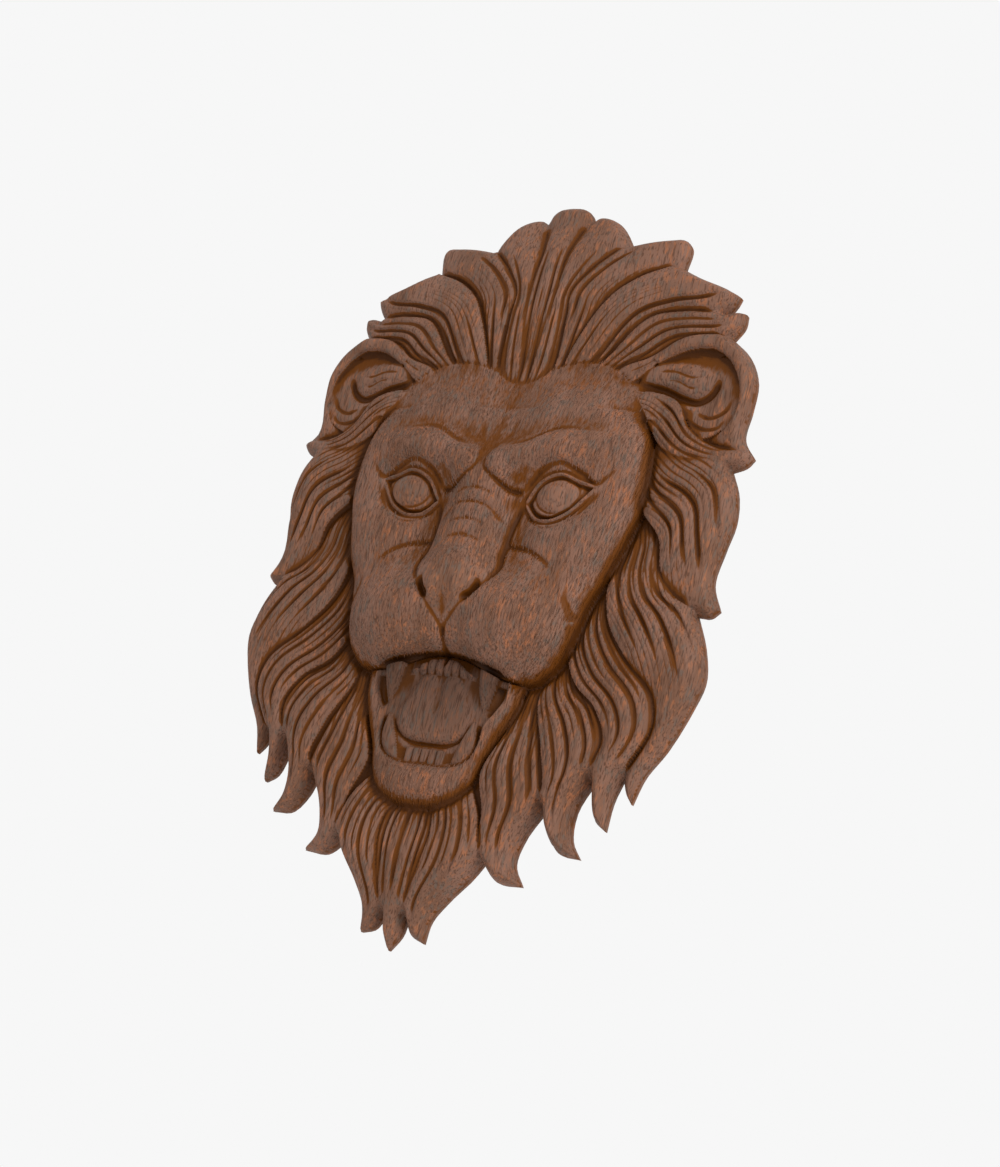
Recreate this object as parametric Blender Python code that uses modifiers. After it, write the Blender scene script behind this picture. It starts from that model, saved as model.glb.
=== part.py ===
"""Wooden lion head carved in relief, made to hang on a wall.

The plaque is one piece of wood. Its back is flat and lies on the wall at y = 0, the carving faces -Y and +Z
is up. The origin is the place on the back where it is fixed, on the middle plane behind the bridge of the
nose. The head is the same on both sides of the plane x = 0, so the carving is drawn for one half and read
with the absolute value of x.
"""

import math

import bmesh
import bpy
import numpy as np
from mathutils import Vector
from mathutils.geometry import delaunay_2d_cdt

# Sizes in metres. The outline and the relief are drawn in drawing units and scaled to these. The edge
# thickness is that of the plane of the lock tips, which is rounded off along the outline.
HEIGHT = 0.450
EDGE_THICKNESS = 0.006
NOSE_RISE = 0.037
# Spacing of the points the relief is read on and of those along the outline, and softening of the steep
# cuts.
GRID_STEP = 0.0010
OUTLINE_STEP = 0.0025
SOFTENING = 0.5
TRIANGLES = 9400
# Distance from the middle plane within which the two halves are joined.
MIDDLE_GAP = 0.00001

# Extent of the drawing, its highest place (the nose) and the strip past the middle plane that is cut away
# again.
DRAWN_TOP, DRAWN_BOTTOM = 226, -227
DRAWN_NOSE = 37.3
MIDDLE_STRIP = 4

WOOD_COLOUR = (0.118, 0.045, 0.022, 1)
WOOD_ROUGHNESS = 0.55


# The drawing, half of the face-on view, in drawing units: x from the middle plane, z up, heights above the
# lock tips.

# Outline from the top of the middle tuft down, one smooth stretch from corner to corner.
OUTLINE = [
    [(0, 226), (8, 225), (13, 221.5), (15.5, 216)],
    [(15.5, 216), (20, 218.5), (28, 217), (36, 212), (46.5, 197)],
    [(46.5, 197), (60, 199.5), (72, 200.5), (80, 200.3), (83.8, 196), (82.8, 181)],
    [(82.8, 181), (98, 173), (113, 167), (121.5, 162.5)],
    [(121.5, 162.5), (119.5, 157), (115, 150.5)],
    [(115, 150.5), (123, 152.2), (127.3, 151.5)],
    [(127.3, 151.5), (127.2, 144), (122.5, 136)],
    [(122.5, 136), (134.5, 125), (141.5, 110), (141.8, 93), (141, 76), (149, 64.5)],
    [(149, 64.5), (145.5, 59.8), (138, 56.5)],
    [(138, 56.5), (144, 43), (146, 27), (143.3, 11), (141, -8), (147.5, -23)],
    [(147.5, -23), (143, -27), (136, -27)],
    [(136, -27), (144, -45), (147.5, -62), (143.5, -78), (134.5, -100.5), (125.5, -116), (121.3, -131)],
    [(121.3, -131), (117, -125.5), (114.3, -118)],
    [(114.3, -118), (110.8, -131), (110, -146.8)],
    [(110, -146.8), (103.2, -142), (98, -122)],
    [(98, -122), (91.4, -139), (92.5, -154), (99, -163)],
    [(99, -163), (86.5, -161.5), (78, -151), (74.5, -139)],
    [(74.5, -139), (65.2, -157), (63, -171), (69.8, -181.8)],
    [(69.8, -181.8), (55, -181.6), (45, -173)],
    [(45, -173), (39.5, -182), (28.5, -196), (21.2, -208), (20, -220)],
    [(20, -220), (12, -217), (7, -208)],
    [(7, -208), (5.6, -218), (0, -227)],
]

# Edges of the locks, root first. Neighbours share one edge, and edges that lie on the outline run just past
# it.
MIDDLE_TOP = [(0, 98), (0, 162), (0, 230)]
TUFT_2 = [(3, 98), (6.5, 130), (9, 160), (8.5, 190), (16, 217), (19, 224)]
TOP_2_3 = [(15, 98), (20.5, 120), (20, 148), (18.5, 163), (29, 180), (47, 197.5), (66, 215)]
TOP_3_4 = [(22, 98), (29, 125), (46, 160), (60, 171.5), (84, 181.5), (100, 197)]
TOP_4_5 = [(34, 98), (54, 120), (74, 145), (94, 149.5), (116, 151), (136, 163)]
TOP_5_EAR = [(44, 98), (64, 113.5), (80, 119.5), (94, 130), (118, 134), (138, 148)]
EAR_HAIR = [(50, 92), (72, 104), (88, 118), (99, 130), (120, 134), (131, 141)]
RIM_OUTER = [(82, 119), (97, 131.2), (113, 134.2), (130, 132), (141, 118), (144.5, 101),
             (142.5, 84), (142, 68)]
RIM_INNER = [(86, 115.5), (103, 124.7), (117, 125.5), (129, 116.5), (136.5, 97), (131.5, 80), (119, 72)]
LOBE_UPPER = [(70, 97), (86, 98.5), (101, 93.5), (111, 78.5), (127, 69), (146, 68), (152, 66)]
LOBE_LOWER = [(74, 90), (87, 79), (97, 66), (112, 57.5), (130, 57), (146, 60), (151, 63)]
A_OUTER = [(94, 68), (112, 62), (130, 60), (142, 52), (148, 34), (148, 14), (144.5, -8), (150, -24)]
A_B = [(90, 46), (97, 26), (109, 12), (113, -5), (122, -18.5), (137, -27.5), (149, -24.5)]
B_OUTER = [(96, 27), (109, 12), (113, -5), (122, -18), (137, -29), (147, -47), (149, -62), (145, -78),
           (136, -101), (126, -122), (121, -132)]
B_C = [(93, 18), (85, -8), (90.5, -36), (106, -57), (124.3, -76), (127, -93), (114.3, -118)]
C_D = [(72, -38), (71, -56), (80, -73), (95.5, -86), (103.5, -102), (98, -122)]
D_E = [(60, -66), (60, -84), (69.5, -109), (75.5, -130), (74.5, -139)]
E_INNER = [(52, -74), (45, -103), (37, -127), (43, -148), (44.5, -167), (56, -183), (70, -184)]
BEARD_OUTER = [(31, -133), (42, -154), (44.5, -173), (29, -196), (20, -221)]
BEARD_SPLIT = [(10, -142), (16, -162), (13.5, -182), (7, -208)]
MIDDLE_LOW = [(0, -142), (0, -185), (0, -229)]

# A lock: left edge, right edge, how far its right edge stands above its left one, lift of its bed and
# height of its crown from root to tip, and its strands. A strand is a groove (place across from -1 to 1,
# share of the length where it starts and ends, depth, half-width).
LOCKS = {
    "tuft": (MIDDLE_TOP, TUFT_2, 0, (7, 7.5, 9, 10, 9.5, 8.5, 5, 0.5, 0), (0.5, 1.5, 2, 3, 3),
             [(-1, 0.08, 0.6, 1.5, 1.3), (-0.45, 0.05, 0.5, 1.1, 1), (0, 0.03, 0.78, 1.8, 1.4),
              (0.5, 0.03, 0.45, 1.1, 1)]),
    "top 2": (TUFT_2, TOP_2_3, -0.8, (7, 7.5, 8.5, 9, 8.5, 7, 4, 0.5, 0), (0.5, 2, 3, 4, 3.5),
              [(-0.4, 0.03, 0.5, 1.6, 1.4), (0.3, 0.03, 0.74, 2, 1.6), (0.75, 0.03, 0.45, 1.5, 1.3)]),
    "top 3": (TOP_2_3, TOP_3_4, -1.2, (7, 7.5, 8, 8, 7, 5.5, 3.5, 0.5, 0), (0.5, 2, 3.5, 4.5, 4),
              [(-0.5, 0.3, 0.85, 2, 1.9), (0.1, 0.03, 0.5, 1.5, 1.6)]),
    "top 4": (TOP_3_4, TOP_4_5, -1.4, (7, 8, 8.5, 8.5, 7.5, 6.5, 6, 5, 3.5), (0.5, 3, 4, 4.5, 3),
              [(0.45, 0.1, 0.95, 2.2, 1.9), (-0.45, 0.03, 0.45, 1.2, 1.4), (0.78, 0.03, 0.5, 1.6, 1.3)]),
    "top 5": (TOP_4_5, TOP_5_EAR, -1.2, (7, 8, 8.5, 8.5, 7.5, 6, 4, 2, 1), (0.5, 3, 3.5, 3.5, 2.5),
              [(-0.4, 0.05, 0.95, 2, 1.6), (0.15, 0.1, 0.9, 2, 1.6), (0.62, 0.1, 0.7, 1.6, 1.3)]),
    "ear hair": (TOP_5_EAR, EAR_HAIR, 0, (6, 8, 9, 9, 8, 7, 6, 4, 2), (0.5, 2, 2, 1, 0),
                 [(0, 0.2, 0.7, 1.5, 1.2)]),
    "ear lobe": (LOBE_UPPER, LOBE_LOWER, 1.4, (9, 9, 8, 7, 5, 3, 1, 0), (0.5, 3, 4, 4, 2.5),
                 [(-0.5, 0.2, 0.85, 2.1, 1.4), (0, 0.25, 0.85, 2.1, 1.4), (0.5, 0.25, 0.8, 1.9, 1.3)]),
    "side A": (A_OUTER, A_B, 1.8, (7, 8, 7.5, 6, 4, 2, 0.5, 0), (1, 3, 4.5, 4, 3),
               [(-0.5, 0.25, 0.85, 1.6, 1.8), (0, 0.12, 0.78, 2.2, 1.9), (0.38, 0.03, 0.66, 2, 1.7),
                (0.68, 0.03, 0.55, 1.8, 1.4), (0.2, 0.05, 0.4, 1.2, 1)]),
    "side B": (B_OUTER, B_C, 1.8, (3, 5, 7, 7.5, 6.5, 4.5, 2, 0), (1.5, 3.5, 4.5, 3.5, 2),
               [(-0.62, 0.16, 0.66, 2.2, 1.9), (-0.2, 0.03, 0.62, 2.2, 1.9), (0.2, 0.03, 0.55, 2.2, 1.8),
                (-0.42, 0.08, 0.42, 1.3, 1.1), (0.02, 0.05, 0.36, 1.3, 1), (0.42, 0.03, 0.36, 1.3, 1),
                (0.6, 0.03, 0.5, 2.2, 1.8)]),
    "side C": ([(84, -12)] + B_C[2:] + [(111, -131), (110.5, -147)], C_D + [(101, -137), (110, -148)],
               1.8, (3, 6, 8, 9, 8.5, 7, 4, 1), (1.5, 3.5, 4.5, 3.5, 2),
               [(-0.35, 0.03, 0.85, 2, 1.8), (0.3, 0.03, 0.75, 2.2, 1.9), (0.7, 0.03, 0.6, 1.8, 1.4),
                (-0.68, 0.1, 0.55, 1.3, 1.1), (-0.02, 0.03, 0.42, 1.3, 1.1), (0.5, 0.03, 0.4, 1.2, 1)]),
    "side D": ([(70, -50)] + C_D[2:] + [(91, -140), (92, -152), (100, -163)], D_E + [(79, -154), (99, -166)],
               1.6, (3, 6, 9, 10, 9.5, 8, 5, 1), (1.5, 3.5, 4.5, 3.5, 2),
               [(-0.45, 0.1, 0.8, 1.9, 1.7), (0.1, 0.05, 0.9, 2.1, 1.8), (0.55, 0.1, 0.8, 1.6, 1.4),
                (-0.75, 0.15, 0.55, 1.2, 1), (-0.15, 0.05, 0.45, 1.3, 1.1), (0.8, 0.1, 0.45, 1.2, 1)]),
    "side E": (D_E + [(65, -157), (62, -169), (70, -182)], E_INNER,
               1.2, (3, 6, 8, 9, 8.5, 7, 4, 1), (1.5, 3.5, 4.5, 3.5, 2),
               [(-0.55, 0.05, 0.9, 1.9, 1.7), (0, 0.03, 0.9, 2.1, 1.8), (0.5, 0.03, 0.8, 1.9, 1.7),
                (-0.28, 0.05, 0.5, 1.2, 1), (0.25, 0.03, 0.45, 1.2, 1), (0.76, 0.05, 0.6, 1.2, 1)]),
    "beard side": (BEARD_OUTER, BEARD_SPLIT + [(14, -219.5), (20, -221)],
                   0.6, (6, 10, 11, 11, 9, 5.5, 2, 0), (1, 3.5, 4, 4, 2),
                   [(-0.35, 0.08, 0.85, 2, 1.7), (0.3, 0.08, 0.9, 2, 1.7), (-0.72, 0.1, 0.7, 1.3, 1.1),
                    (0, 0.05, 0.6, 1.3, 1.1), (0.65, 0.08, 0.6, 1.3, 1.1)]),
    "beard middle": (MIDDLE_LOW, BEARD_SPLIT + [(5.5, -216), (0, -228)],
                     0, (6, 9, 10.5, 11, 10, 8, 5, 2, 0), (0.5, 3, 3, 2),
                     [(-1, 0.05, 0.7, 1.8, 1.6), (0, 0.05, 0.75, 1.5, 1.3), (0.5, 0.05, 0.6, 1.2, 1),
                      (-0.5, 0.08, 0.5, 1.1, 1)]),
}
MIDDLE_LOCKS = ("tuft", "beard middle")
# Fullness of a lock's crown, half-width that it covers with a slight overlap, shares of its length over
# which its tilt grows and dies away, and shares over which a strand fades in and out.
CROWN_FULLNESS = 2.6
LOCK_COVER = 1.01
TILT_FADE = (0.2, 0.125)
STRAND_FADE = (0.12, 0.15)
# Height of the wood left between the locks, and width, drop and fullness of the rounding along the outline.
BED = 1
RIM_ROUND, RIM_DROP, RIM_FULLNESS = 5.5, 3.5, 1.7

# Ear: the corners that close its bowl, the height of the bowl from its inner to its outer side, the mass of
# hair in it, the crease and the strands of that hair, and the lift of the rim from its root down with its
# crown.
BOWL_CORNERS = [(111, 78.5), (101, 93.5), (86, 98.5), (76, 97), (76, 108)]
BOWL_SPAN, BOWL_HEIGHT = (82, 118), (6.5, 3.5)
EAR_HAIR_MASS = (98, 109, 24, 9, 3.5, -8, 3)
EAR_CREASE = [(76, 102), (90, 101), (103, 96), (112, 94.5), (119, 99), (123.5, 109)]
EAR_STRANDS = [
    [(84, 110), (96, 111), (108, 108), (117, 111)],
    [(88, 105), (98, 105.5), (108, 102), (115, 104)],
    [(112, 88), (121, 85), (129, 89), (132, 97)],
    [(108, 83.5), (117, 78.5), (126, 79), (130, 84)],
]
STRAND_IN_EAR = (-1.2, 1.2, 0.25, 0.3)
RIM_LIFT = (8.5, 8.5, 7.5, 6, 5.5, 4.5, 2.5, -1)
RIM_CROWN = 2.8

# Face: where it meets the hair, the side locks and the beard, and the edge of the upper lip and muzzle.
HAIRLINE = [(0, 103), (7, 104), (20, 111), (38, 115.5), (54, 114), (68, 106), (79, 94), (88, 80)]
CHEEK = [(88, 80), (93.5, 64), (96, 46), (95.5, 28), (91, 10), (85.5, -10), (77.5, -28), (75, -42), (73, -54),
         (67, -67), (58, -75.5), (50, -78.5)]
JAW = [(50, -78.5), (48.5, -92), (43.5, -106), (37, -120), (32, -134), (25, -144.5),
       (14, -150.5), (0, -152.5)]
LIP = [(0, -65.5), (12, -67.5), (31, -74.5), (48, -78), (59, -75), (67.5, -66), (73, -53), (74.5, -40),
       (70, -26), (62, -14)]
# Rounding of the face: its height along the hairline from the middle outwards and the width of the fall to
# it, the height and width of the edge along the cheeks, and the foot of the lip and widths of its rounding
# to the cheek.
FACE_HALF_WIDTH, FACE_FALL = 92, 2.3
TOP_SPAN, TOP_HEIGHT, TOP_ROUND = (0, 25), (7.5, 9), 30
EDGE_HEIGHT, EDGE_ROUND = 2, 18
LIP_FOOT, LIP_ROUND = 3, (8, 8, 11, 18, 20)
# Lower jaw: height at its edge, rise above it, width of its rounding, and the swelling of the chin.
JAW_FOOT, JAW_RISE, JAW_ROUND = 4, 8.5, 17
CHIN = (0, -139, 26, 10, 4, 0, 2)
# Grooves round the face and the mass of hair under the jaw.
CHEEK_GROOVE = (-2.5, 3.2, 0.1, 0.02)
JAW_GROOVE = (-1.8, 2.4, 0.02, 0)
HAIRLINE_GROOVE = (-1.2, 1.8, 0, 0.6)
UNDER_JAW = (38, -143, 14, 22, 4.5, 0, 3)
# Middle-line profile of the face and the height of its sides, (z, height).
PROFILE = [(-160, 10), (-100, 12), (-66, 17), (-50, 21), (-22, 22), (22, 21.5), (41, 22), (52, 21),
           (62, 18.5), (77, 15), (103, 10.5), (130, 8)]
SIDES = [(-160, 7), (-100, 8), (-60, 10), (0, 14), (40, 16.5), (80, 15), (105, 10.5), (130, 8)]
# Swellings and hollows of the face: centre x, z, half-width, half-height, rise, turn, firmness.
FORMS = [
    (42, 84, 30, 20, 4.5, 12, 2),
    (0, 68, 8, 24, -2, 0, 2),
    (0, 2, 19, 52, 8.5, 0, 3.4),
    (14, 47, 13, 10, 6.4, 25, 2.8),
    (46, 57, 27, 12, 6.4, 6, 2.8),
    (47, 27, 25, 15, -3.8, 10, 3),
    (0, -24, 24, 16, 4.8, 0, 3.4),
    (66, 6, 22, 22, 2.5, 0, 2.4),
    (35, -47, 30, 27, 12, -12, 2.6),
    (28, 6, 9, 20, -2.5, 12, 2),
]
# Creases of the face: curve, height (below zero cuts in), half-width, share of its length that fades at
# each end.
CREASES = [
    ([(6, 57), (2.8, 50), (3.5, 42), (9, 36.5), (19, 30.5), (27, 30.5)], -2.3, 2, 0.3, 0.1),
    ([(26, 30), (37, 43), (48, 47.5), (60, 43), (70, 38), (82, 49)], -1.8, 1.8, 0.1, 0.35),
    ([(31, 18), (44, 10.8), (58, 16), (74, 34)], -1.4, 1.8, 0.15, 0.3),
    ([(8, 54), (23, 60.5), (40, 69), (62, 69)], -1.6, 2, 0.15, 0.35),
    ([(7, 60), (10, 68), (11, 78)], -1.2, 2, 0.2, 0.5),
    ([(28, 26), (24.5, 10), (24.5, -8), (26, -18), (20, -31), (14, -38)], -2.1, 2, 0.15, 0.2),
    ([(24, -2), (36, -3.5), (48, -8.5), (59, -17)], -1.8, 1.9, 0.05, 0.4),
    ([(0, 29), (8, 27.5), (15, 23)], -1, 1.7, 0, 0.4),
    ([(0, 20.5), (10, 18.5), (21, 9)], -1.3, 1.8, 0, 0.25),
    ([(0, 10), (8, 8.5), (15, 4)], -1, 1.7, 0, 0.4),
    ([(0, 0), (8, -1.5), (14, -5)], -0.8, 1.7, 0, 0.4),
    ([(7, -24), (7.5, -32), (9, -40)], 1.6, 2.2, 0.3, 0.3),
    ([(18, -25), (17, -32), (10, -40), (0, -54)], -1.6, 1.7, 0.15, 0),
    ([(0, -52), (0, -60), (0, -70)], -3, 2.2, 0.2, 0),
]
NOSTRIL = ([(18.5, -22), (17.5, -28), (12.5, -34), (9, -34.5)], -6, 2.3, 0.35, 0.25)
LID_UPPER = [(28.9, 24.1), (37.5, 38), (49, 42.3), (60, 38.5), (69.5, 36)]
LID_LOWER = [(28.9, 24.1), (36, 16.3), (46, 14.4), (57, 19.5), (69.5, 36)]
# Iris: centre, radius of its ring and of the pupil, height of the eyeball at its middle and at its corners.
IRIS, IRIS_SQUASH = (48, 29.2), 1.35
RING, PUPIL = 12.6, 7
BALL_TOP, BALL_CORNER, BALL_BEND = 21, 15.5, 60
# Mouth: its opening, the hollows beside the canines, the tongue, and the row of upper front teeth.
MOUTH = [(0, -64), (15, -66), (42, -76), (42.5, -86), (38.5, -94), (33.5, -103), (32.5, -112), (28, -122.5),
         (18, -127.5), (0, -128)]
MOUTH_HOLES = [
    ([(38.5, -78), (38.5, -86), (36, -93), (32.5, -97.5)], -5, 3, 0.05, 0.2),
    ([(29.5, -102), (31.5, -110), (30.5, -117), (26.5, -122.5)], -4, 1.9, 0.15, 0.15),
]
TONGUE = [(0, -75), (12, -76.5), (16, -82), (20, -91), (24, -100), (23.5, -106.5), (18, -112.5), (9, -114.8),
          (0, -115.3)]
INCISORS = [(0, -67), (8, -69), (15.6, -74), (21.5, -77), (20.5, -79.5), (10, -78), (0, -77.2)]
# Canines: left edge, right edge, lift and crown from root to tip.
UPPER_CANINE = ([(24.5, -72), (26, -84), (30.2, -96.5)], [(38.5, -76), (36.5, -86), (30.8, -96.5)],
                (14, 13, 11.5, 10), (3.5, 3, 2.5, 0.8))
LOWER_CANINE = ([(16.5, -127), (21.5, -113), (26.8, -101)], [(27.5, -123.5), (29.5, -113), (27.8, -101)],
                (9, 10.5, 11.5, 12), (3, 3, 2, 0.8))
# Heights in the mouth: floor from its back to its front, foot of its wall, tongue, and teeth with their
# spacing.
FLOOR_SPAN, FLOOR_HEIGHT = (-120, -100), (9, 11)
WALL_TOP = 12.5
TONGUE_SINK, TONGUE_RISE, TONGUE_ROUND = 1.2, 2.8, 8
TONGUE_GROOVE, TONGUE_GROOVE_WIDTH, TONGUE_GROOVE_SPAN = 1.3, 2.4, (-106, -92)
UPPER_TOOTH_WIDTH, UPPER_TOOTH_HEIGHT, UPPER_TOOTH_GAP = 5.2, 13.8, 3.2
LOWER_TOOTH_WIDTH, LOWER_TOOTH_HEIGHT, LOWER_TOOTH_GAP = 5, 11.6, 2.2
LOWER_TEETH = (12.5, -127.5, -118.5)
LIP_LINE = ([(0, -128), (12, -128), (24, -124.5), (32, -116)], -1.3, 1.3, 0, 0.2)
# A length or share too small to matter, which keeps a division finite.
TINY = 1e-9


def hermite(s, start, end, slope_start, slope_end):
    """Cubic from start to end with the given slopes, at share s of the gap between them."""
    return (
        (2 * s**3 - 3 * s**2 + 1) * start
        + (s**3 - 2 * s**2 + s) * slope_start
        + (3 * s**2 - 2 * s**3) * end
        + (s**3 - s**2) * slope_end
    )


def spline(points, count):
    """Points evenly spaced along a smooth curve through the given ones."""
    p = np.array(points, float)
    knots = np.concatenate([[0.0], np.cumsum(np.linalg.norm(np.diff(p, axis=0), axis=1) ** 0.6)])
    slopes = np.gradient(p, knots, axis=0)
    at = np.linspace(0, knots[-1], 24 * len(p))
    k = np.clip(np.searchsorted(knots, at, side="right") - 1, 0, len(p) - 2)
    gap = (knots[k + 1] - knots[k])[:, None]
    share = (at[:, None] - knots[k][:, None]) / gap
    path = hermite(share, p[k], p[k + 1], gap * slopes[k], gap * slopes[k + 1])
    run = np.concatenate([[0.0], np.cumsum(np.linalg.norm(np.diff(path, axis=0), axis=1))])
    even = np.linspace(0, run[-1], count)
    return np.stack([np.interp(even, run, path[:, 0]), np.interp(even, run, path[:, 1])], 1)


def graph(value, pairs):
    """Smooth curve through (place, height) pairs, read at value."""
    place, height = np.array(pairs, float).T
    slope = np.gradient(height, place)
    k = np.clip(np.searchsorted(place, value, side="right") - 1, 0, len(place) - 2)
    gap = place[k + 1] - place[k]
    s = np.clip((value - place[k]) / gap, 0, 1)
    return hermite(s, height[k], height[k + 1], gap * slope[k], gap * slope[k + 1])


def ramp(share, heights):
    """Heights evenly spaced from share 0 to 1, joined smoothly."""
    return graph(share, list(zip(np.linspace(0, 1, len(heights)), heights)))


def close_to(x, z, line, reach):
    """Indices of the points in the box of a line widened by reach."""
    low, high = line.min(0) - reach, line.max(0) + reach
    return np.nonzero((x > low[0]) & (x < high[0]) & (z > low[1]) & (z < high[1]))[0]


def near(x, z, line, reach):
    """Distance to a line, at most reach, and share of its length at the nearest place."""
    distance, share = np.full(x.shape, float(reach)), np.zeros(x.shape)
    found = close_to(x, z, line, reach)
    px, pz = x[found], z[found]
    best, place = np.full(len(found), np.inf), np.zeros(len(found))
    for k, (start, end) in enumerate(zip(line[:-1], line[1:])):
        step = end - start
        s = np.clip(((px - start[0]) * step[0] + (pz - start[1]) * step[1]) / (step @ step + TINY), 0, 1)
        gap = (px - start[0] - s * step[0]) ** 2 + (pz - start[1] - s * step[1]) ** 2
        closer = gap < best
        best[closer] = gap[closer]
        place[closer] = (k + s[closer]) / (len(line) - 1)
    distance[found], share[found] = np.minimum(np.sqrt(best), reach), place
    return distance, share


def crease(x, z, points, height, width, start, end):
    """Ridge, or groove where height is below zero, along a curve, fading over a share of it at each end."""
    distance, share = near(x, z, spline(points, 40), 3 * width)
    fade = np.clip((share + TINY) / (start + TINY), 0, 1) * np.clip((1 - share + TINY) / (end + TINY), 0, 1)
    return height * fade * np.exp(-((distance / width) ** 2))


def between(x, z, left, right, rulings=64):
    """Place in the strip between two edges: share along it, place across from -1 to 1, and half its width."""
    a, b = spline(left, rulings), spline(right, rulings)
    middle, half = (a + b) / 2, (b - a) / 2
    for k in range(1, rulings):
        width = np.hypot(*half[k])
        if width < 0.15:
            half[k] = 0.15 * half[k - 1] / np.hypot(*half[k - 1])
    along, across, reach = np.full(x.shape, -1.0), np.full(x.shape, 9.0), np.ones(x.shape)
    found = close_to(x, z, np.vstack([a, b]), 1)
    px, pz = x[found], z[found]
    best_along, best_across = along[found], across[found]
    best_width = reach[found]
    run = np.diff(middle, axis=0)
    turn = np.sign(np.sum(run[:, 0] * half[:-1, 1] - run[:, 1] * half[:-1, 0]))
    behind = turn * ((px - middle[0, 0]) * half[0, 1] - (pz - middle[0, 1]) * half[0, 0])
    for k in range(rulings - 1):
        ahead = turn * ((px - middle[k + 1, 0]) * half[k + 1, 1] - (pz - middle[k + 1, 1]) * half[k + 1, 0])
        hit = np.nonzero((behind >= 0) & (ahead <= 0))[0]
        s = behind[hit] / np.maximum(behind[hit] - ahead[hit], TINY)
        mid = middle[k] + s[:, None] * run[k]
        arm = half[k] + s[:, None] * (half[k + 1] - half[k])
        width = np.hypot(arm[:, 0], arm[:, 1])
        place = (px[hit] - mid[:, 0]) * arm[:, 0] + (pz[hit] - mid[:, 1]) * arm[:, 1]
        place /= np.maximum(width, TINY) ** 2
        better = np.abs(place) < np.abs(best_across[hit])
        chosen = hit[better]
        best_across[chosen], best_width[chosen] = place[better], width[better]
        best_along[chosen] = (k + s[better]) / (rulings - 1)
        behind = ahead
    along[found], across[found], reach[found] = best_along, best_across, best_width
    return along, across, reach


def within(x, z, ring):
    """True for points inside a closed ring."""
    found = np.zeros(x.shape, bool)
    for (x0, z0), (x1, z1) in zip(ring, np.roll(ring, -1, axis=0)):
        if z0 != z1:
            found ^= ((z < z0) != (z < z1)) & (x < (x1 - x0) * (z - z0) / (z1 - z0) + x0)
    return found


def blend(a, b, soft):
    """The higher of two surfaces, with a soft valley where they cross."""
    s = np.clip(0.5 + 0.5 * (a - b) / soft, 0, 1)
    return b * (1 - s) + a * s + soft * s * (1 - s)


def rounding(distance, width, power=2.2):
    """0 at an edge and 1 from width inwards, round as a gouge leaves it."""
    return np.clip(1 - np.clip(1 - distance / width, 0, 1) ** power, 0, 1) ** (1 / power)


def swelling(x, z, cx, cz, half_width, half_height, rise, turn, firmness):
    """Soft swelling that dies away to nothing."""
    c, s = math.cos(math.radians(turn)), math.sin(math.radians(turn))
    u, v = (x - cx) * c + (z - cz) * s, (z - cz) * c - (x - cx) * s
    return rise * np.exp(-(((u / half_width) ** 2 + (v / half_height) ** 2) ** (firmness / 2)))


def lock(x, z, name):
    """One lock of hair: a bed between its edges, a rounded crown and the grooves of its strands."""
    left, right, tilt, lift, crown, strands = LOCKS[name]
    along, across, width = between(x, z, left, right)
    place = (across + 1) / 2 if name in MIDDLE_LOCKS else across
    height = ramp(along, lift) + ramp(along, crown) * (1 - np.minimum(np.abs(place), 1) ** CROWN_FULLNESS)
    height += tilt * across * np.clip(along / TILT_FADE[0], 0, 1) * np.clip((1 - along) / TILT_FADE[1], 0, 1)
    for at, start, end, depth, half_width in strands:
        fade = np.clip((along - start) / STRAND_FADE[0], 0, 1) * np.clip((end - along) / STRAND_FADE[1], 0, 1)
        height -= depth * fade * np.exp(-(((across - at) * width / half_width) ** 2))
    return np.where((along >= 0) & (np.abs(across) <= LOCK_COVER), height, BED)


def ear(x, z):
    """Bowl of the ear with the hair in it, and its rim."""
    bowl = np.interp(x, BOWL_SPAN, BOWL_HEIGHT) + swelling(x, z, *EAR_HAIR_MASS)
    bowl += crease(x, z, EAR_CREASE, -3.5, 2.4, 0.1, 0.1)
    for strand in EAR_STRANDS:
        bowl += crease(x, z, strand, *STRAND_IN_EAR)
    bowl = np.where(within(x, z, np.vstack([spline(RIM_INNER, 60), BOWL_CORNERS])), bowl, BED)
    along, across, _ = between(x, z, RIM_OUTER, RIM_INNER)
    rim = ramp(along, RIM_LIFT) + RIM_CROWN * np.clip(1 - np.abs(across) ** 2.4, 0, 1) ** 0.6
    return np.maximum(bowl, np.where((along >= 0) & (np.abs(across) <= 1), rim, BED))


def mane(x, z):
    """All the hair and the ear. Locks cover each other, and a groove runs round the face."""
    height = np.maximum(ear(x, z), BED + swelling(x, z, *UNDER_JAW))
    for name in LOCKS:
        height = np.maximum(height, lock(x, z, name))
    return height + crease(x, z, CHEEK, *CHEEK_GROOVE) + crease(x, z, JAW, *JAW_GROOVE)


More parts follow.
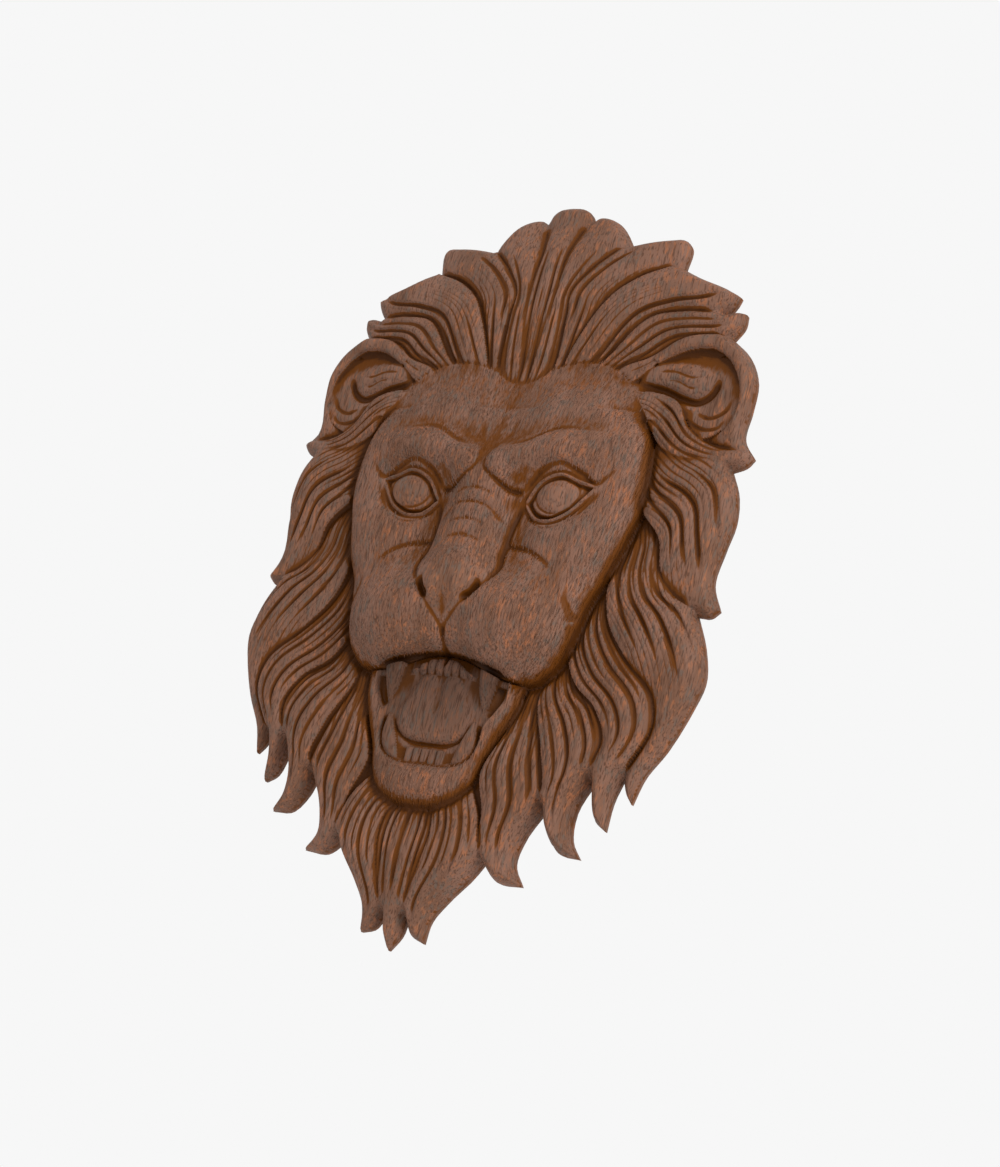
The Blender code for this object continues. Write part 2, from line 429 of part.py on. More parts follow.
def face(x, z):
    """Skull, brows, cheeks, muzzle and jaw, falling away at the edge where the hair begins."""
    away = np.clip(x / FACE_HALF_WIDTH, 0, 1.1) ** FACE_FALL
    height = graph(z, PROFILE) * (1 - away) + graph(z, SIDES) * away
    for form in FORMS:
        height += swelling(x, z, *form)
    hairline, cheek, jaw, lip = spline(HAIRLINE, 50), spline(CHEEK, 60), spline(JAW, 40), spline(LIP, 70)
    inside_face = within(x, z, np.vstack([hairline, cheek, jaw]))
    above_lip = within(x, z, np.vstack([lip, [(40, 20), (0, 20)]]))
    to_edge = np.minimum(near(x, z, cheek, 60)[0], near(x, z, jaw, 60)[0])
    from_hair, _ = near(x, z, hairline, 60)
    from_lip, at_lip = near(x, z, lip, 60)
    top = np.interp(x, TOP_SPAN, TOP_HEIGHT)
    height = top + (height - top) * rounding(from_hair + 2 * np.clip(85 - z, 0, None), TOP_ROUND, 1.5)
    edged = EDGE_HEIGHT + (height - EDGE_HEIGHT) * rounding(to_edge, EDGE_ROUND)
    soften = ramp(at_lip, LIP_ROUND)
    from_lip = from_lip + 34 * np.clip((at_lip - 0.72) / 0.28, 0, 1) ** 2
    muzzle = np.minimum(edged, LIP_FOOT + (height - LIP_FOOT) * rounding(from_lip, soften))
    lower_jaw = JAW_FOOT + JAW_RISE * rounding(to_edge, JAW_ROUND) + swelling(x, z, *CHIN)
    past_lip = from_lip + 60 * (at_lip >= 0.995)
    below = np.minimum(edged, LIP_FOOT + (height - LIP_FOOT) * rounding(past_lip, soften))
    whole = np.where(above_lip, muzzle, np.where(z < -50, lower_jaw, np.where(from_lip < 55, below, edged)))
    outside = np.where(z > 80, height - 0.7 * from_hair, -6 - 3 * np.minimum(to_edge, 3))
    return np.where(inside_face | (above_lip & (z < -60)), whole, outside)


def lid(x, z, points, rise, cut, end):
    """Thin raised lid with a fine groove on each side."""
    distance, share = near(x, z, spline(points, 40), 6)
    fade = np.clip(share / 0.05, 0, 1) * np.clip((1 - share) / end, 0, 1)
    return fade * (rise * np.exp(-((distance / 1.4) ** 2)) - cut * np.exp(-(((distance - 2.8) / 1.1) ** 2)))


def eye(x, z, height):
    """Eyeball between two lids, with the ring of the iris."""
    upper, lower = spline(LID_UPPER, 40), spline(LID_LOWER, 40)
    from_iris = np.hypot(x - IRIS[0], IRIS_SQUASH * (z - IRIS[1]))
    ball = np.maximum(BALL_TOP - from_iris**2 / BALL_BEND, BALL_CORNER)
    ball -= 2.4 * np.exp(-(((from_iris - RING) / 1.2) ** 2))
    ball -= 0.7 * np.exp(-(((from_iris - PUPIL) / 1.1) ** 2))
    height = np.where(within(x, z, np.vstack([upper, lower[::-1]])), np.minimum(height, ball), height)
    return height + lid(x, z, LID_UPPER, 2, 1.2, 0.1) + lid(x, z, LID_LOWER, 1.8, 1, 0.2)


def tooth(x, z, left, right, lift, crown):
    """Pointed tooth between two edges, root first."""
    along, across, _ = between(x, z, left, right)
    height = ramp(along, lift) + ramp(along, crown) * np.clip(1 - across**2, 0, 1) ** 0.5
    return np.where((along >= 0) & (np.abs(across) <= 1), height, -1)


def row_of_teeth(x, offset, width, height, gap):
    """Row of narrow teeth, each as wide as given, with a cut between them."""
    return height - gap * np.abs(2 * ((x + offset) % width) / width - 1) ** 5


def mouth(x, z, height):
    """Open mouth: its floor, the tongue, the teeth above and below and the hollows beside the canines."""
    ring, tongue_ring = spline(MOUTH, 80), spline(TONGUE, 50)
    to_ring, _ = near(x, z, ring, WALL_TOP)
    floor = np.interp(z, FLOOR_SPAN, FLOOR_HEIGHT)
    cavity = np.minimum(height, np.maximum(floor, WALL_TOP - to_ring))
    for hole in MOUTH_HOLES:
        cavity += crease(x, z, *hole)
    from_edge, _ = near(x, z, tongue_ring, TONGUE_ROUND)
    groove = np.exp(-((x / TONGUE_GROOVE_WIDTH) ** 2)) * np.interp(z, TONGUE_GROOVE_SPAN, (0, 1))
    tongue = floor - TONGUE_SINK + TONGUE_RISE * rounding(from_edge, TONGUE_ROUND) - TONGUE_GROOVE * groove
    side, low, high = LOWER_TEETH
    above = row_of_teeth(x, 0, UPPER_TOOTH_WIDTH, UPPER_TOOTH_HEIGHT, UPPER_TOOTH_GAP) + 0.3 * (z + 72)
    front = row_of_teeth(x, LOWER_TOOTH_WIDTH / 2, LOWER_TOOTH_WIDTH, LOWER_TOOTH_HEIGHT, LOWER_TOOTH_GAP)
    filling = np.maximum.reduce([
        np.where(within(x, z, tongue_ring), tongue, -1),
        np.where(within(x, z, spline(INCISORS, 50)), above, -1),
        np.where((x < side) & (z > low) & (z < high), front, -1),
        tooth(x, z, *UPPER_CANINE),
        tooth(x, z, *LOWER_CANINE),
    ])
    return np.where(within(x, z, ring), np.maximum(cavity, filling), height) + crease(x, z, *LIP_LINE)


def relief(x, z):
    """Height of the carving above the plane of the lock tips, for either half of the head."""
    x = np.abs(x)
    head = eye(x, z, mouth(x, z, face(x, z))) + crease(x, z, *NOSTRIL)
    for mark in CREASES:
        head += crease(x, z, *mark)
    in_face = within(x, z, np.vstack([spline(HAIRLINE, 50), [(88, 60), (0, 60)]]))
    from_hair, _ = near(x, z, spline(HAIRLINE, 50), 60)
    hair = mane(x, z) + crease(x, z, HAIRLINE, *HAIRLINE_GROOVE)
    hair = np.where(in_face, hair - 0.7 * np.minimum(from_hair, 40), hair)
    height = blend(head, hair, 1.8)
    to_rim, _ = near(x, z, np.vstack([spline(stretch, 8) for stretch in OUTLINE]), RIM_ROUND)
    return (height + RIM_DROP) * rounding(to_rim, RIM_ROUND, RIM_FULLNESS) - RIM_DROP


def half_outline(step):
    """Outline of the right half from top to bottom, in drawing units, with its corners kept."""
    path = []
    for stretch in OUTLINE:
        length = np.linalg.norm(np.diff(spline(stretch, 40), axis=0), axis=1).sum()
        path.extend(spline(stretch, max(3, math.ceil(length / step) + 1))[:-1])
    return np.array(path + [OUTLINE[-1][-1]])


def flat_half(unit):
    """Flat face in the plane of the wall, cut to the outline of one half and a strip past the middle."""
    edge = half_outline(OUTLINE_STEP / unit)
    step = GRID_STEP / unit
    strip = edge[edge[:, 0] < MIDDLE_STRIP] * [-1, 1]
    low, high = strip[strip[:, 1] < 0], strip[strip[:, 1] > 0]
    ring = np.vstack([edge, low[-2::-1], high[:0:-1]])
    columns = np.arange(step - MIDDLE_STRIP, edge[:, 0].max(), step)
    rows = np.arange(DRAWN_BOTTOM + step, DRAWN_TOP, step)
    x, z = (a.ravel() for a in np.meshgrid(columns, rows))
    to_edge, _ = near(x, z, edge, 2 * step)
    keep = within(x, z, ring) & (to_edge > 0.6 * step)
    points = np.vstack([ring, np.stack([x[keep], z[keep]], 1)])
    corners, _, faces, _, _, _ = delaunay_2d_cdt([Vector(p) for p in points], [], [range(len(ring))], 1, 1e-5)
    mesh = bpy.data.meshes.new("lion_head")
    mesh.from_pydata([(c.x * unit, 0, c.y * unit) for c in corners], [], faces)
    return mesh


def carve(mesh, unit):
    """Raises the flat face to the relief, with a wall round it and the flat back left on the wall plane."""
    shape = bmesh.new()
    shape.from_mesh(mesh)
    back = shape.faces[:]
    raised = bmesh.ops.extrude_face_region(shape, geom=back)["geom"]
    bmesh.ops.dissolve_faces(shape, faces=back)
    front = [v for v in raised if isinstance(v, bmesh.types.BMVert)]
    x = np.array([v.co.x for v in front]) / unit
    z = np.array([v.co.z for v in front]) / unit
    heights = EDGE_THICKNESS + relief(x, z) * NOSE_RISE / DRAWN_NOSE
    for vert, height in zip(front, heights):
        vert.co.y = -height
    bmesh.ops.smooth_vert(shape, verts=front, factor=SOFTENING, use_axis_y=True)
    bmesh.ops.recalc_face_normals(shape, faces=shape.faces[:])
    shape.to_mesh(mesh)
    shape.free()


def wood():
    """Mid-brown oiled wood."""
    material = bpy.data.materials.new("carved_wood")
    material.use_nodes = True
    shader = material.node_tree.nodes["Principled BSDF"]
    shader.inputs["Base Color"].default_value = WOOD_COLOUR
    shader.inputs["Roughness"].default_value = WOOD_ROUGHNESS
    shader.inputs["Metallic"].default_value = 0
    return material


def lion_head(collection):
    """The whole plaque: one half carved on a fine grid, kept to the triangles it needs, and mirrored."""
    unit = HEIGHT / (DRAWN_TOP - DRAWN_BOTTOM)
    mesh = flat_half(unit)
    carve(mesh, unit)
    mesh.materials.append(wood())
    plaque = bpy.data.objects.new("lion_head", mesh)
    collection.objects.link(plaque)
    fewer = plaque.modifiers.new("fewer faces", "DECIMATE")
    fewer.ratio = TRIANGLES / 2 / sum(len(p.vertices) - 2 for p in mesh.polygons)
    mirror = plaque.modifiers.new("other half", "MIRROR")
    mirror.use_bisect_axis[0] = True
    mirror.bisect_threshold = MIDDLE_GAP
    mirror.merge_threshold = MIDDLE_GAP
    return plaque


def main():
    for item in list(bpy.data.objects):
        bpy.data.objects.remove(item)
    collection = bpy.data.collections.new("lion_head_plaque")
    bpy.context.scene.collection.children.link(collection)
    lion_head(collection)


main()
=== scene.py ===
"""Carved wooden lion head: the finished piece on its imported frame.

The relief is carved on a fine mesh, with the strands and fur strokes that the solid leaves out, and gets a
procedural oiled wood. The back lies on the wall at y = 0, the carving faces -Y and +Z is up. Sizes are in
metres where a comment doesn't say drawing units.
"""
import math

import bmesh
import bpy
import numpy as np
from bpy.props import FloatProperty, FloatVectorProperty, IntProperty, PointerProperty
from mathutils import Matrix, Vector
from mathutils.geometry import delaunay_2d_cdt


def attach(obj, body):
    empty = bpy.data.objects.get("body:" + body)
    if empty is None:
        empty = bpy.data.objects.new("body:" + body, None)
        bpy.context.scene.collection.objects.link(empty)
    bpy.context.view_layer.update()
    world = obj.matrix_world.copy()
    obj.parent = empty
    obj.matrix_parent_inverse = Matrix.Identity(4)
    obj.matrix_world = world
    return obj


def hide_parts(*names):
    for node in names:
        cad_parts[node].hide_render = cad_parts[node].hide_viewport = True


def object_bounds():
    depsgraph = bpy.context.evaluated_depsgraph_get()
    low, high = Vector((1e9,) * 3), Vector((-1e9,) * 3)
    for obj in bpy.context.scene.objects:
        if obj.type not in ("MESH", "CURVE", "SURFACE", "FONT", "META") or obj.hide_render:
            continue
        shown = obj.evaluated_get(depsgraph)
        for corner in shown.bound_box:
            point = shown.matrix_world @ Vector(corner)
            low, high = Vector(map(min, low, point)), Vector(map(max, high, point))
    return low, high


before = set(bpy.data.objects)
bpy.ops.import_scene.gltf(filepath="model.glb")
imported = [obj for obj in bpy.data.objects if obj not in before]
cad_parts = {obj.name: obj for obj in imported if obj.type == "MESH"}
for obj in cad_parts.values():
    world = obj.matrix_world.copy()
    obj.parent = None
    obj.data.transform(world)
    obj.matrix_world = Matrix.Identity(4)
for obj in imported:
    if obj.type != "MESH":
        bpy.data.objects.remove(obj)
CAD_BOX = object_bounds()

bl_info = {
    "name": "Carved lion head",
    "version": (1, 0, 0),
    "blender": (4, 5, 0),
    "location": "3D View > Sidebar > Lion",
    "description": "Carves a wooden lion head wall plaque, cuts its fur and sets it in a plain studio",
    "category": "Add Mesh",
}

# The head is drawn from DRAWN_BOTTOM to DRAWN_TOP in drawing units, and UNIT scales it to the height of the
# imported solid. The half is carved with a strip past the middle plane, which is cut away again.
DRAWN_TOP, DRAWN_BOTTOM = 226, -227
MIDDLE_STRIP = 4
UNIT = (CAD_BOX[1].z - CAD_BOX[0].z) / (DRAWN_TOP - DRAWN_BOTTOM)
DEPTH = CAD_BOX[1].y - CAD_BOX[0].y

# The drawing is half of the view from the front, in drawing units: x from the middle plane, z up, and heights
# above the plane of the lock tips.

# Outline from the top of the middle tuft down, one smooth stretch from corner to corner.
OUTLINE = [
    [(0, 226), (8, 225), (13, 221.5), (15.5, 216)],
    [(15.5, 216), (20, 218.5), (28, 217), (36, 212), (46.5, 197)],
    [(46.5, 197), (60, 199.5), (72, 200.5), (80, 200.3), (83.8, 196), (82.8, 181)],
    [(82.8, 181), (98, 173), (113, 167), (121.5, 162.5)],
    [(121.5, 162.5), (119.5, 157), (115, 150.5)],
    [(115, 150.5), (123, 152.2), (127.3, 151.5)],
    [(127.3, 151.5), (127.2, 144), (122.5, 136)],
    [(122.5, 136), (134.5, 125), (141.5, 110), (141.8, 93), (141, 76), (149, 64.5)],
    [(149, 64.5), (145.5, 59.8), (138, 56.5)],
    [(138, 56.5), (144, 43), (146, 27), (143.3, 11), (141, -8), (147.5, -23)],
    [(147.5, -23), (143, -27), (136, -27)],
    [(136, -27), (144, -45), (147.5, -62), (143.5, -78), (134.5, -100.5), (125.5, -116), (121.3, -131)],
    [(121.3, -131), (117, -125.5), (114.3, -118)],
    [(114.3, -118), (110.8, -131), (110, -146.8)],
    [(110, -146.8), (103.2, -142), (98, -122)],
    [(98, -122), (91.4, -139), (92.5, -154), (99, -163)],
    [(99, -163), (86.5, -161.5), (78, -151), (74.5, -139)],
    [(74.5, -139), (65.2, -157), (63, -171), (69.8, -181.8)],
    [(69.8, -181.8), (55, -181.6), (45, -173)],
    [(45, -173), (39.5, -182), (28.5, -196), (21.2, -208), (20, -220)],
    [(20, -220), (12, -217), (7, -208)],
    [(7, -208), (5.6, -218), (0, -227)],
]

# Edges of the locks, root first. Neighbours share one edge, and edges that lie on the outline run just past
# it.
MIDDLE_TOP = [(0, 98), (0, 162), (0, 230)]
TUFT_2 = [(3, 98), (6.5, 130), (9, 160), (8.5, 190), (16, 217), (19, 224)]
TOP_2_3 = [(15, 98), (20.5, 120), (20, 148), (18.5, 163), (29, 180), (47, 197.5), (66, 215)]
TOP_3_4 = [(22, 98), (29, 125), (46, 160), (60, 171.5), (84, 181.5), (100, 197)]
TOP_4_5 = [(34, 98), (54, 120), (74, 145), (94, 149.5), (116, 151), (136, 163)]
TOP_5_EAR = [(44, 98), (64, 113.5), (80, 119.5), (94, 130), (118, 134), (138, 148)]
EAR_HAIR = [(50, 92), (72, 104), (88, 118), (99, 130), (120, 134), (131, 141)]
RIM_OUTER = [(82, 119), (97, 131.2), (113, 134.2), (130, 132), (141, 118), (144.5, 101),
             (142.5, 84), (142, 68)]
RIM_INNER = [(86, 115.5), (103, 124.7), (117, 125.5), (129, 116.5), (136.5, 97), (131.5, 80), (119, 72)]
LOBE_UPPER = [(70, 97), (86, 98.5), (101, 93.5), (111, 78.5), (127, 69), (146, 68), (152, 66)]
LOBE_LOWER = [(74, 90), (87, 79), (97, 66), (112, 57.5), (130, 57), (146, 60), (151, 63)]
A_OUTER = [(94, 68), (112, 62), (130, 60), (142, 52), (148, 34), (148, 14), (144.5, -8), (150, -24)]
A_B = [(90, 46), (97, 26), (109, 12), (113, -5), (122, -18.5), (137, -27.5), (149, -24.5)]
B_OUTER = [(96, 27), (109, 12), (113, -5), (122, -18), (138, -28), (149, -47), (151, -62), (147, -78),
           (138, -101), (128, -122), (121, -132)]
B_C = [(93, 18), (85, -8), (90.5, -36), (106, -57), (124.3, -76), (127, -93), (114.3, -118)]
C_D = [(72, -38), (71, -56), (80, -73), (95.5, -86), (103.5, -102), (98, -122)]
D_E = [(60, -66), (60, -84), (69.5, -109), (75.5, -130), (74.5, -139)]
E_INNER = [(52, -74), (45, -103), (37, -127), (43, -148), (44.5, -167), (56, -183), (70, -184)]
BEARD_OUTER = [(31, -133), (42, -154), (44.5, -173), (29, -196), (20, -221)]
BEARD_SPLIT = [(10, -142), (16, -162), (13.5, -182), (7, -208)]
MIDDLE_LOW = [(0, -142), (0, -185), (0, -229)]

# Crown that the side locks share, from root to tip.
SIDE_CROWN = (1.5, 3.5, 4.5, 3.5, 2)
# A lock: left edge, right edge, how far its right edge stands above its left one, lift of its bed and
# height of its crown from root to tip, and its strands. A strand is a groove (place across from -1 to 1,
# share of the length where it starts and ends, depth, half-width).
LOCKS = {
    "tuft": (MIDDLE_TOP, TUFT_2, 0, (7, 7.5, 9, 10, 9.5, 8.5, 5, 0.5, 0), (0.5, 1.5, 2, 3, 3),
        [(-1, 0.08, 0.6, 1.5, 1.3), (-0.45, 0.05, 0.5, 1.1, 1), (0, 0.03, 0.78, 1.8, 1.4),
        (0.5, 0.03, 0.45, 1.1, 1)]),
    "top 2": (TUFT_2, TOP_2_3, -0.8, (7, 7.5, 8.5, 9, 8.5, 7, 4, 0.5, 0), (0.5, 2, 3, 4, 3.5),
        [(-0.4, 0.03, 0.5, 1.6, 1.4), (0.3, 0.03, 0.74, 2, 1.6), (0.75, 0.03, 0.45, 1.5, 1.3)]),
    "top 3": (TOP_2_3, TOP_3_4, -1.2, (7, 7.5, 8, 8, 7, 5.5, 3.5, 0.5, 0), (0.5, 2, 3.5, 4.5, 4),
        [(-0.5, 0.3, 0.85, 2, 1.9), (0.1, 0.03, 0.5, 1.5, 1.6)]),
    "top 4": (TOP_3_4, TOP_4_5, -1.4, (7, 8, 8.5, 8.5, 7.5, 6.5, 6, 5, 3.5), (0.5, 3, 4, 4.5, 3),
        [(0.45, 0.1, 0.95, 2.2, 1.9), (-0.45, 0.03, 0.45, 1.2, 1.4), (0.78, 0.03, 0.5, 1.6, 1.3)]),
    "top 5": (TOP_4_5, TOP_5_EAR, -1.2, (7, 8, 8.5, 8.5, 7.5, 6, 4, 2, 1), (0.5, 3, 3.5, 3.5, 2.5),
        [(-0.4, 0.05, 0.95, 2, 1.6), (0.15, 0.1, 0.9, 2, 1.6), (0.62, 0.1, 0.7, 1.6, 1.3)]),
    "ear hair": (TOP_5_EAR, EAR_HAIR, 0, (6, 8, 9, 9, 8, 7, 6, 4, 2), (0.5, 2, 2, 1, 0),
        [(0, 0.2, 0.7, 1.5, 1.2)]),
    "ear lobe": (LOBE_UPPER, LOBE_LOWER, 1.4, (9, 9, 8, 7, 5, 3, 1, 0), (0.5, 3, 4, 4, 2.5),
        [(-0.5, 0.2, 0.85, 2.1, 1.4), (0, 0.25, 0.85, 2.1, 1.4), (0.5, 0.25, 0.8, 1.9, 1.3)]),
    "side A": (A_OUTER, A_B, 1.8, (7, 8, 7.5, 6, 4, 2, 0.5, 0), (1, 3, 4.5, 4, 3),
        [(-0.5, 0.25, 0.85, 1.6, 1.8), (0, 0.12, 0.78, 2.2, 1.9), (0.38, 0.03, 0.66, 2, 1.7),
        (0.68, 0.03, 0.55, 1.8, 1.4), (0.2, 0.05, 0.4, 1.2, 1)]),
    "side B": (B_OUTER, B_C, 1.8, (3, 5, 7, 7.5, 6.5, 4.5, 2, 0), SIDE_CROWN,
        [(-0.62, 0.16, 0.66, 2.2, 1.9), (-0.2, 0.03, 0.62, 2.2, 1.9), (0.2, 0.03, 0.55, 2.2, 1.8),
        (-0.42, 0.08, 0.42, 1.3, 1.1), (0.02, 0.05, 0.36, 1.3, 1), (0.42, 0.03, 0.36, 1.3, 1),
        (0.6, 0.03, 0.5, 2.2, 1.8)]),
    "side C": ([(84, -12)] + B_C[2:] + [(111, -131), (110.5, -147)], C_D + [(101, -137), (110, -148)],
        1.8, (3, 6, 8, 9, 8.5, 7, 4, 1), SIDE_CROWN,
        [(-0.35, 0.03, 0.85, 2, 1.8), (0.3, 0.03, 0.75, 2.2, 1.9), (0.7, 0.03, 0.6, 1.8, 1.4),
        (-0.68, 0.1, 0.55, 1.3, 1.1), (-0.02, 0.03, 0.42, 1.3, 1.1), (0.5, 0.03, 0.4, 1.2, 1)]),
    "side D": ([(70, -50)] + C_D[2:] + [(91, -140), (92, -152), (100, -163)], D_E + [(79, -154), (99, -166)],
        1.6, (3, 6, 9, 10, 9.5, 8, 5, 1), SIDE_CROWN,
        [(-0.45, 0.1, 0.8, 1.9, 1.7), (0.1, 0.05, 0.9, 2.1, 1.8), (0.55, 0.1, 0.8, 1.6, 1.4),
        (-0.75, 0.15, 0.55, 1.2, 1), (-0.15, 0.05, 0.45, 1.3, 1.1), (0.8, 0.1, 0.45, 1.2, 1)]),
    "side E": (D_E + [(65, -157), (62, -169), (70, -182)], E_INNER,
        1.2, (3, 6, 8, 9, 8.5, 7, 4, 1), SIDE_CROWN,
        [(-0.55, 0.05, 0.9, 1.9, 1.7), (0, 0.03, 0.9, 2.1, 1.8), (0.5, 0.03, 0.8, 1.9, 1.7),
        (-0.28, 0.05, 0.5, 1.2, 1), (0.25, 0.03, 0.45, 1.2, 1), (0.76, 0.05, 0.6, 1.2, 1)]),
    "beard side": (BEARD_OUTER, BEARD_SPLIT + [(14, -219.5), (20, -221)],
        0.6, (6, 10, 11, 11, 9, 5.5, 2, 0), (1, 3.5, 4, 4, 2),
        [(-0.35, 0.08, 0.85, 2, 1.7), (0.3, 0.08, 0.9, 2, 1.7), (-0.72, 0.1, 0.7, 1.3, 1.1),
        (0, 0.05, 0.6, 1.3, 1.1), (0.65, 0.08, 0.6, 1.3, 1.1)]),
    "beard middle": (MIDDLE_LOW, BEARD_SPLIT + [(5.5, -216), (0, -228)],
        0, (6, 9, 10.5, 11, 10, 8, 5, 2, 0), (0.5, 3, 3, 2),
        [(-1, 0.05, 0.7, 1.8, 1.6), (0, 0.05, 0.75, 1.5, 1.3), (0.5, 0.05, 0.6, 1.2, 1),
        (-0.5, 0.08, 0.5, 1.1, 1)]),
}
MIDDLE_LOCKS = ("tuft", "beard middle")
# Fullness of a lock's crown, half-width that it covers with a slight overlap, shares of its length over
# which its tilt grows and dies away, and shares over which a strand fades in and out.
CROWN_FULLNESS = 2.6
LOCK_COVER = 1.01
TILT_FADE = (0.2, 0.125)
STRAND_FADE = (0.12, 0.15)
# Height of the wood left between the locks, and width, drop and fullness of the rounding along the outline.
BED = 1
RIM_ROUND, RIM_DROP, RIM_FULLNESS = 5.5, 3.5, 1.7

# Ear: the corners that close its bowl, the height of the bowl from its inner to its outer side, the mass of
# hair in it, the crease and the strands of that hair, and the lift of the rim from its root down with the
# height and the two powers of its crown.
BOWL_CORNERS = [(111, 78.5), (101, 93.5), (86, 98.5), (76, 97), (76, 108)]
BOWL_SPAN, BOWL_HEIGHT = (82, 118), (6.5, 3.5)
EAR_HAIR_MASS = (98, 109, 24, 9, 3.5, -8, 3)
EAR_CREASE = ([(76, 102), (90, 101), (103, 96), (112, 94.5), (119, 99), (123.5, 109)], -3.5, 2.4, 0.1, 0.1)
EAR_STRANDS = [
    [(84, 110), (96, 111), (108, 108), (117, 111)],
    [(88, 105), (98, 105.5), (108, 102), (115, 104)],
    [(112, 88), (121, 85), (129, 89), (132, 97)],
    [(108, 83.5), (117, 78.5), (126, 79), (130, 84)],
]
STRAND_IN_EAR = (-1.2, 1.2, 0.25, 0.3)
RIM_LIFT = (8.5, 8.5, 7.5, 6, 5.5, 4.5, 2.5, -1)
RIM_CROWN, RIM_SQUARE, RIM_FULL = 2.8, 2.4, 0.6

# Face: where it meets the hair, the side locks and the beard, and the edge of the upper lip and muzzle.
HAIRLINE = [(0, 103), (7, 104), (20, 111), (38, 115.5), (54, 114), (68, 106), (79, 94), (88, 80)]
CHEEK = [(88, 80), (93.5, 64), (96, 46), (95.5, 28), (91, 10), (85.5, -10), (77.5, -28), (75, -42), (73, -54),
         (67, -67), (58, -75.5), (50, -78.5)]
JAW = [(50, -78.5), (48.5, -92), (43.5, -106), (37, -120), (32, -134), (25, -144.5),
       (14, -150.5), (0, -152.5)]
LIP = [(0, -65.5), (12, -67.5), (31, -74.5), (48, -78), (59, -75), (67.5, -66), (73, -53), (74.5, -40),
       (70, -26), (62, -14)]
# Corners that close the muzzle above the lip and the forehead below the hairline.
LIP_CORNERS = [(40, 20), (0, 20)]
HAIRLINE_CORNERS = [(88, 60), (0, 60)]
# How the profile gives way to the sides: half-width of the face, how far past it, and power of the fall.
FACE_HALF_WIDTH, FACE_REACH, FACE_FALL = 92, 1.1, 2.3
# Distance to which the edges of the face are felt.
FAR = 60
# Rounding at the hairline: height from the middle outwards, width, fullness, and the place where it ends.
TOP_SPAN, TOP_HEIGHT, TOP_ROUND, TOP_FULLNESS, TOP_END = (0, 25), (7.5, 9), 30, 1.5, 85
# Edge along the cheeks: its height and the width of its rounding.
EDGE_HEIGHT, EDGE_ROUND = 3.5, 16
# Lip: its foot and widths of its rounding to the cheek, share of it where the rounding lets go and by how
# much, its last share, distance to which it is felt, and the place below which it hangs over the mouth.
LIP_FOOT, LIP_ROUND = 3, (8, 8, 11, 18, 20)
LIP_END, LIP_LET_GO, LIP_LAST, LIP_FELT, LIP_OVERHANG = 0.72, 34, 0.995, 55, -60
# Lower jaw: its upper end, height at its edge, rise above it, width of its rounding, and the chin's swelling.
JAW_TOP, JAW_FOOT, JAW_RISE, JAW_ROUND = -50, 5, 7.5, 15
CHIN = (0, -139, 26, 10, 4, 0, 2)
# Falls outside the face: slope by which face and hair go under each other, the place above which the face
# does so and the distance over which the hair does, and height, slope and width of the fall beside the
# cheeks. Then the width of the valley between face and hair.
HAIR_FALL, HAIR_END, HAIR_DEEPEST = 0.7, 80, 40
CHEEK_FALL = (-6, 3, 3)
FACE_VALLEY = 1.8
# Grooves round the face and the mass of hair under the jaw.
CHEEK_GROOVE = (-1.7, 2.8, 0.1, 0.02)
JAW_GROOVE = (-1.1, 2.2, 0.02, 0)
HAIRLINE_GROOVE = (-1.2, 1.8, 0, 0.6)
UNDER_JAW = (38, -143, 14, 22, 4.5, 0, 3)
# Middle-line profile of the face and the height of its sides, (z, height).
PROFILE = [(-160, 10), (-100, 12), (-66, 17), (-50, 21), (-22, 22), (22, 21.5), (41, 22), (52, 21),
           (62, 18.5), (77, 15), (103, 10.5), (130, 8)]
SIDES = [(-160, 7), (-100, 8), (-60, 10), (0, 14), (40, 16.5), (80, 15), (105, 10.5), (130, 8)]
# Swellings and hollows of the face: centre x, z, half-width, half-height, rise, turn, firmness.
FORMS = [
    (42, 84, 30, 20, 4.5, 12, 2),
    (0, 68, 8, 24, -1.2, 0, 2),
    (0, 2, 19, 52, 8.5, 0, 3.4),
    (14, 47, 13, 10, 7, 25, 2.8),
    (46, 57, 27, 12, 7.4, 6, 2.8),
    (47, 27, 25, 15, -4.6, 10, 3),
    (48, 30, 15, 12, 3.2, 10, 2.6),
    (0, -24, 24, 16, 4.8, 0, 3.4),
    (66, 6, 22, 22, 3.2, 0, 2.4),
    (35, -47, 30, 27, 12, -12, 2.6),
    (28, 6, 9, 20, -3.8, 12, 2),
]
